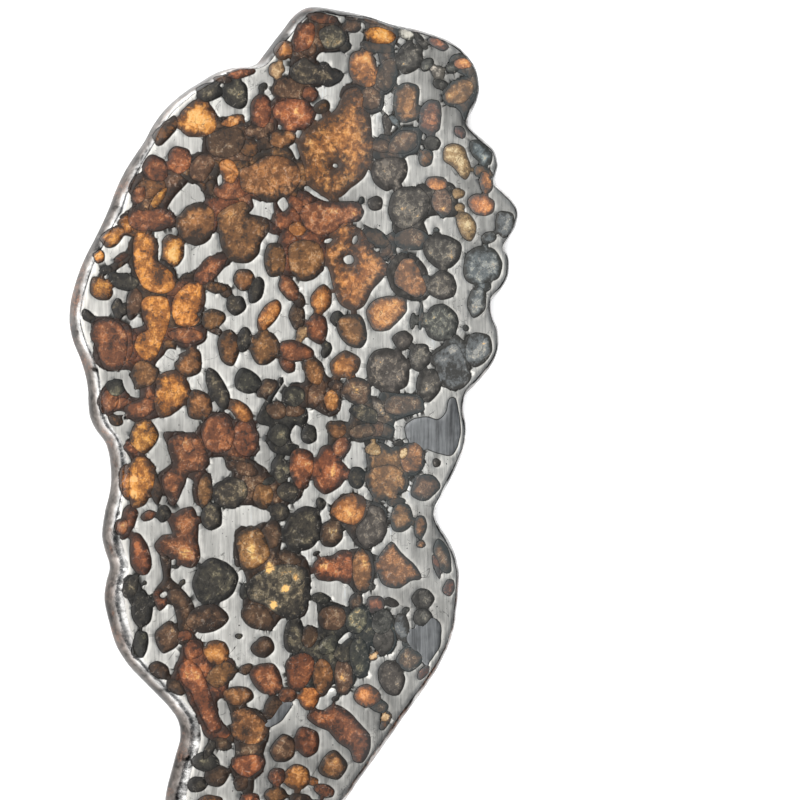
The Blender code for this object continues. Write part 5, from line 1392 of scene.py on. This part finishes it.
def make_slice():
    """The metal, every crystal and the specks, each as a finished piece."""
    chance = random.Random(SEED)
    widest = smoothed(loops_at("iron_nickel_plate", WIDEST_HEIGHT)[0])
    front = smoothed(loops_at("iron_nickel_plate", THICKNESS)[0])
    grains = all_grains(chance)
    sheet = Sheet(widest, front, grains, chance)
    tops, backs = top_heights(sheet), back_heights(sheet)
    interior, grinding = crystal_group(), grinding_group()
    finishes = {tone: crystal_material(tone, interior) for tone in TONES}
    finishes["troilite"] = troilite_material(grinding)
    iron = iron_material(grinding)

    metal = solid("iron_nickel_metal", sheet, tops, backs, sheet.owner == -1, {
        "edge": sheet.iron_distance, "rim": 1 - sheet.rim_share, "dull_and_shaded": sheet.dull_and_shaded, "rust": sheet.rust,
        "shade_and_tarnish": sheet.shade_and_tarnish,
    })
    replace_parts(finished("iron_nickel_metal", metal, iron), "iron_nickel_plate")

    small = {}
    everywhere = np.ones(len(sheet.points))
    for number, grain in enumerate(grains):
        chosen = sheet.owner == number
        if not chosen.any():
            continue
        mesh = solid(f"{grain.tone} grain", sheet, tops, backs, chosen, {
            "edge": sheet.iron_distance, "joint": sheet.joint_distance, "shade": sheet.shade,
            "seed": everywhere * grain.seed, "glow": everywhere * grain.glow,
            "rim_depth": everywhere * grain.rim_depth,
        })
        if grain.node:
            made = finished(f"{grain.node}_polished", mesh, finishes[grain.tone])
            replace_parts(made, grain.node)
        else:
            small.setdefault(grain.tone, []).append(mesh)
    for tone, meshes in small.items():
        finished(f"small_{tone}_grains", joined(meshes), finishes[tone])
    make_specks(sheet, finishes["dark"])


def joined(meshes):
    """One mesh of many."""
    holders = [placed("part", mesh) for mesh in meshes]
    with bpy.context.temp_override(
        active_object=holders[0], object=holders[0], selected_objects=holders, selected_editable_objects=holders
    ):
        if len(holders) > 1:
            bpy.ops.object.join()
    result = holders[0].data
    bpy.data.objects.remove(holders[0], do_unlink=True)
    return result


# Studio

CAMERA_YAW = math.radians(25)
CAMERA_DISTANCE = 420 * MM
CAMERA_FOCAL_PIXELS = 2520
FRAME_PIXELS = 800
SENSOR = 36.0
AIM = (16.4 * MM, 7.4 * MM, THICKNESS * MM)

FLOOR_HALF = 3.0
OVERHEAD = (1.55, 1.55, 1.54, 1)
DUSKY_RIGHT = (0.20, 0.225, 0.245, 1)
LOW_DOWN = (0.20, 0.205, 0.215, 1)

# Name, place, size across and down, power, and whether it shows as a reflection.
LIGHTS = (
    ("key from the left", (-0.8, -0.35, 1.0), (0.8, 0.8), 13, False),
    ("fill from behind", (-0.2, 0.95, 0.7), (0.6, 0.4), 5, False),
    ("strip along the left rim", (-1.1, 0.1, 1.1), (0.10, 1.4), 1.4, True),
)


def make_camera():
    """The photo's view: over the slice and turned towards its left edge."""
    data = bpy.data.cameras.new("camera")
    data.sensor_width = SENSOR
    data.lens = CAMERA_FOCAL_PIXELS / FRAME_PIXELS * SENSOR
    data.clip_start = 0.01
    data.clip_end = 20.0
    camera = placed("camera", data)
    back = Vector((-math.sin(CAMERA_YAW), 0, math.cos(CAMERA_YAW)))
    right = Vector((math.cos(CAMERA_YAW), 0, math.sin(CAMERA_YAW)))
    up = Vector((0, 1, 0))
    turn = Matrix((right, up, back)).transposed().to_4x4()
    camera.matrix_world = Matrix.Translation(Vector(AIM) + back * CAMERA_DISTANCE) @ turn
    bpy.context.scene.camera = camera


def make_floor():
    """A pale floor, which glows a little so that it stays white under the slice."""
    mesh = bpy.data.meshes.new("floor")
    corners = [(x * FLOOR_HALF, y * FLOOR_HALF, 0) for x, y in ((-1, -1), (1, -1), (1, 1), (-1, 1))]
    mesh.from_pydata(corners, [], [(0, 1, 2, 3)])
    floor = placed("floor", mesh)
    made, _, shader, _ = new_material("pale floor")
    shader["Base Color"].default_value = (0.9, 0.9, 0.9, 1)
    shader["Roughness"].default_value = 0.9
    shader["Emission Color"].default_value = (1, 1, 1, 1)
    shader["Emission Strength"].default_value = 0.35
    mesh.materials.append(made)


def area_light(name, spot, size, power, mirrored):
    """A rectangular light that points at the slice."""
    data = bpy.data.lights.new(name, "AREA")
    data.shape = "RECTANGLE"
    data.size, data.size_y = size
    data.energy = power
    light = placed(name, data)
    light.location = spot
    light.rotation_euler = (-Vector(spot)).to_track_quat("-Z", "Y").to_euler()
    light.visible_glossy = mirrored


def make_world():
    """A soft studio: brightest overhead, dim low down all round, and bluish and darker towards the right."""
    world = bpy.data.worlds.new("studio")
    bpy.context.scene.world = world
    world.use_nodes = True
    t = Tree(world.node_tree)
    t.nodes.clear()
    parts = t.add("ShaderNodeSeparateXYZ")
    t.put(t.add("ShaderNodeTexCoord").outputs["Generated"], parts.inputs[0])
    right = t.ramp(parts.outputs["X"], 0.08, 0.58)
    low = t.ramp(parts.outputs["Z"], 0.30, 0.80, 1.0, 0.0)
    color = t.mix(right, OVERHEAD, DUSKY_RIGHT)
    color = t.mix(low, color, LOW_DOWN)
    color = t.scaled(color, t.ramp(parts.outputs["Y"], -0.17, 0.15, 0.74, 1.05))
    background = t.add("ShaderNodeBackground")
    t.put(color, background.inputs["Color"])
    t.put(background.outputs[0], t.add("ShaderNodeOutputWorld").inputs["Surface"])


make_slice()
make_camera()
make_floor()
make_world()
for row in LIGHTS:
    area_light(*row)
bpy.context.scene.view_settings.view_transform = "Standard"
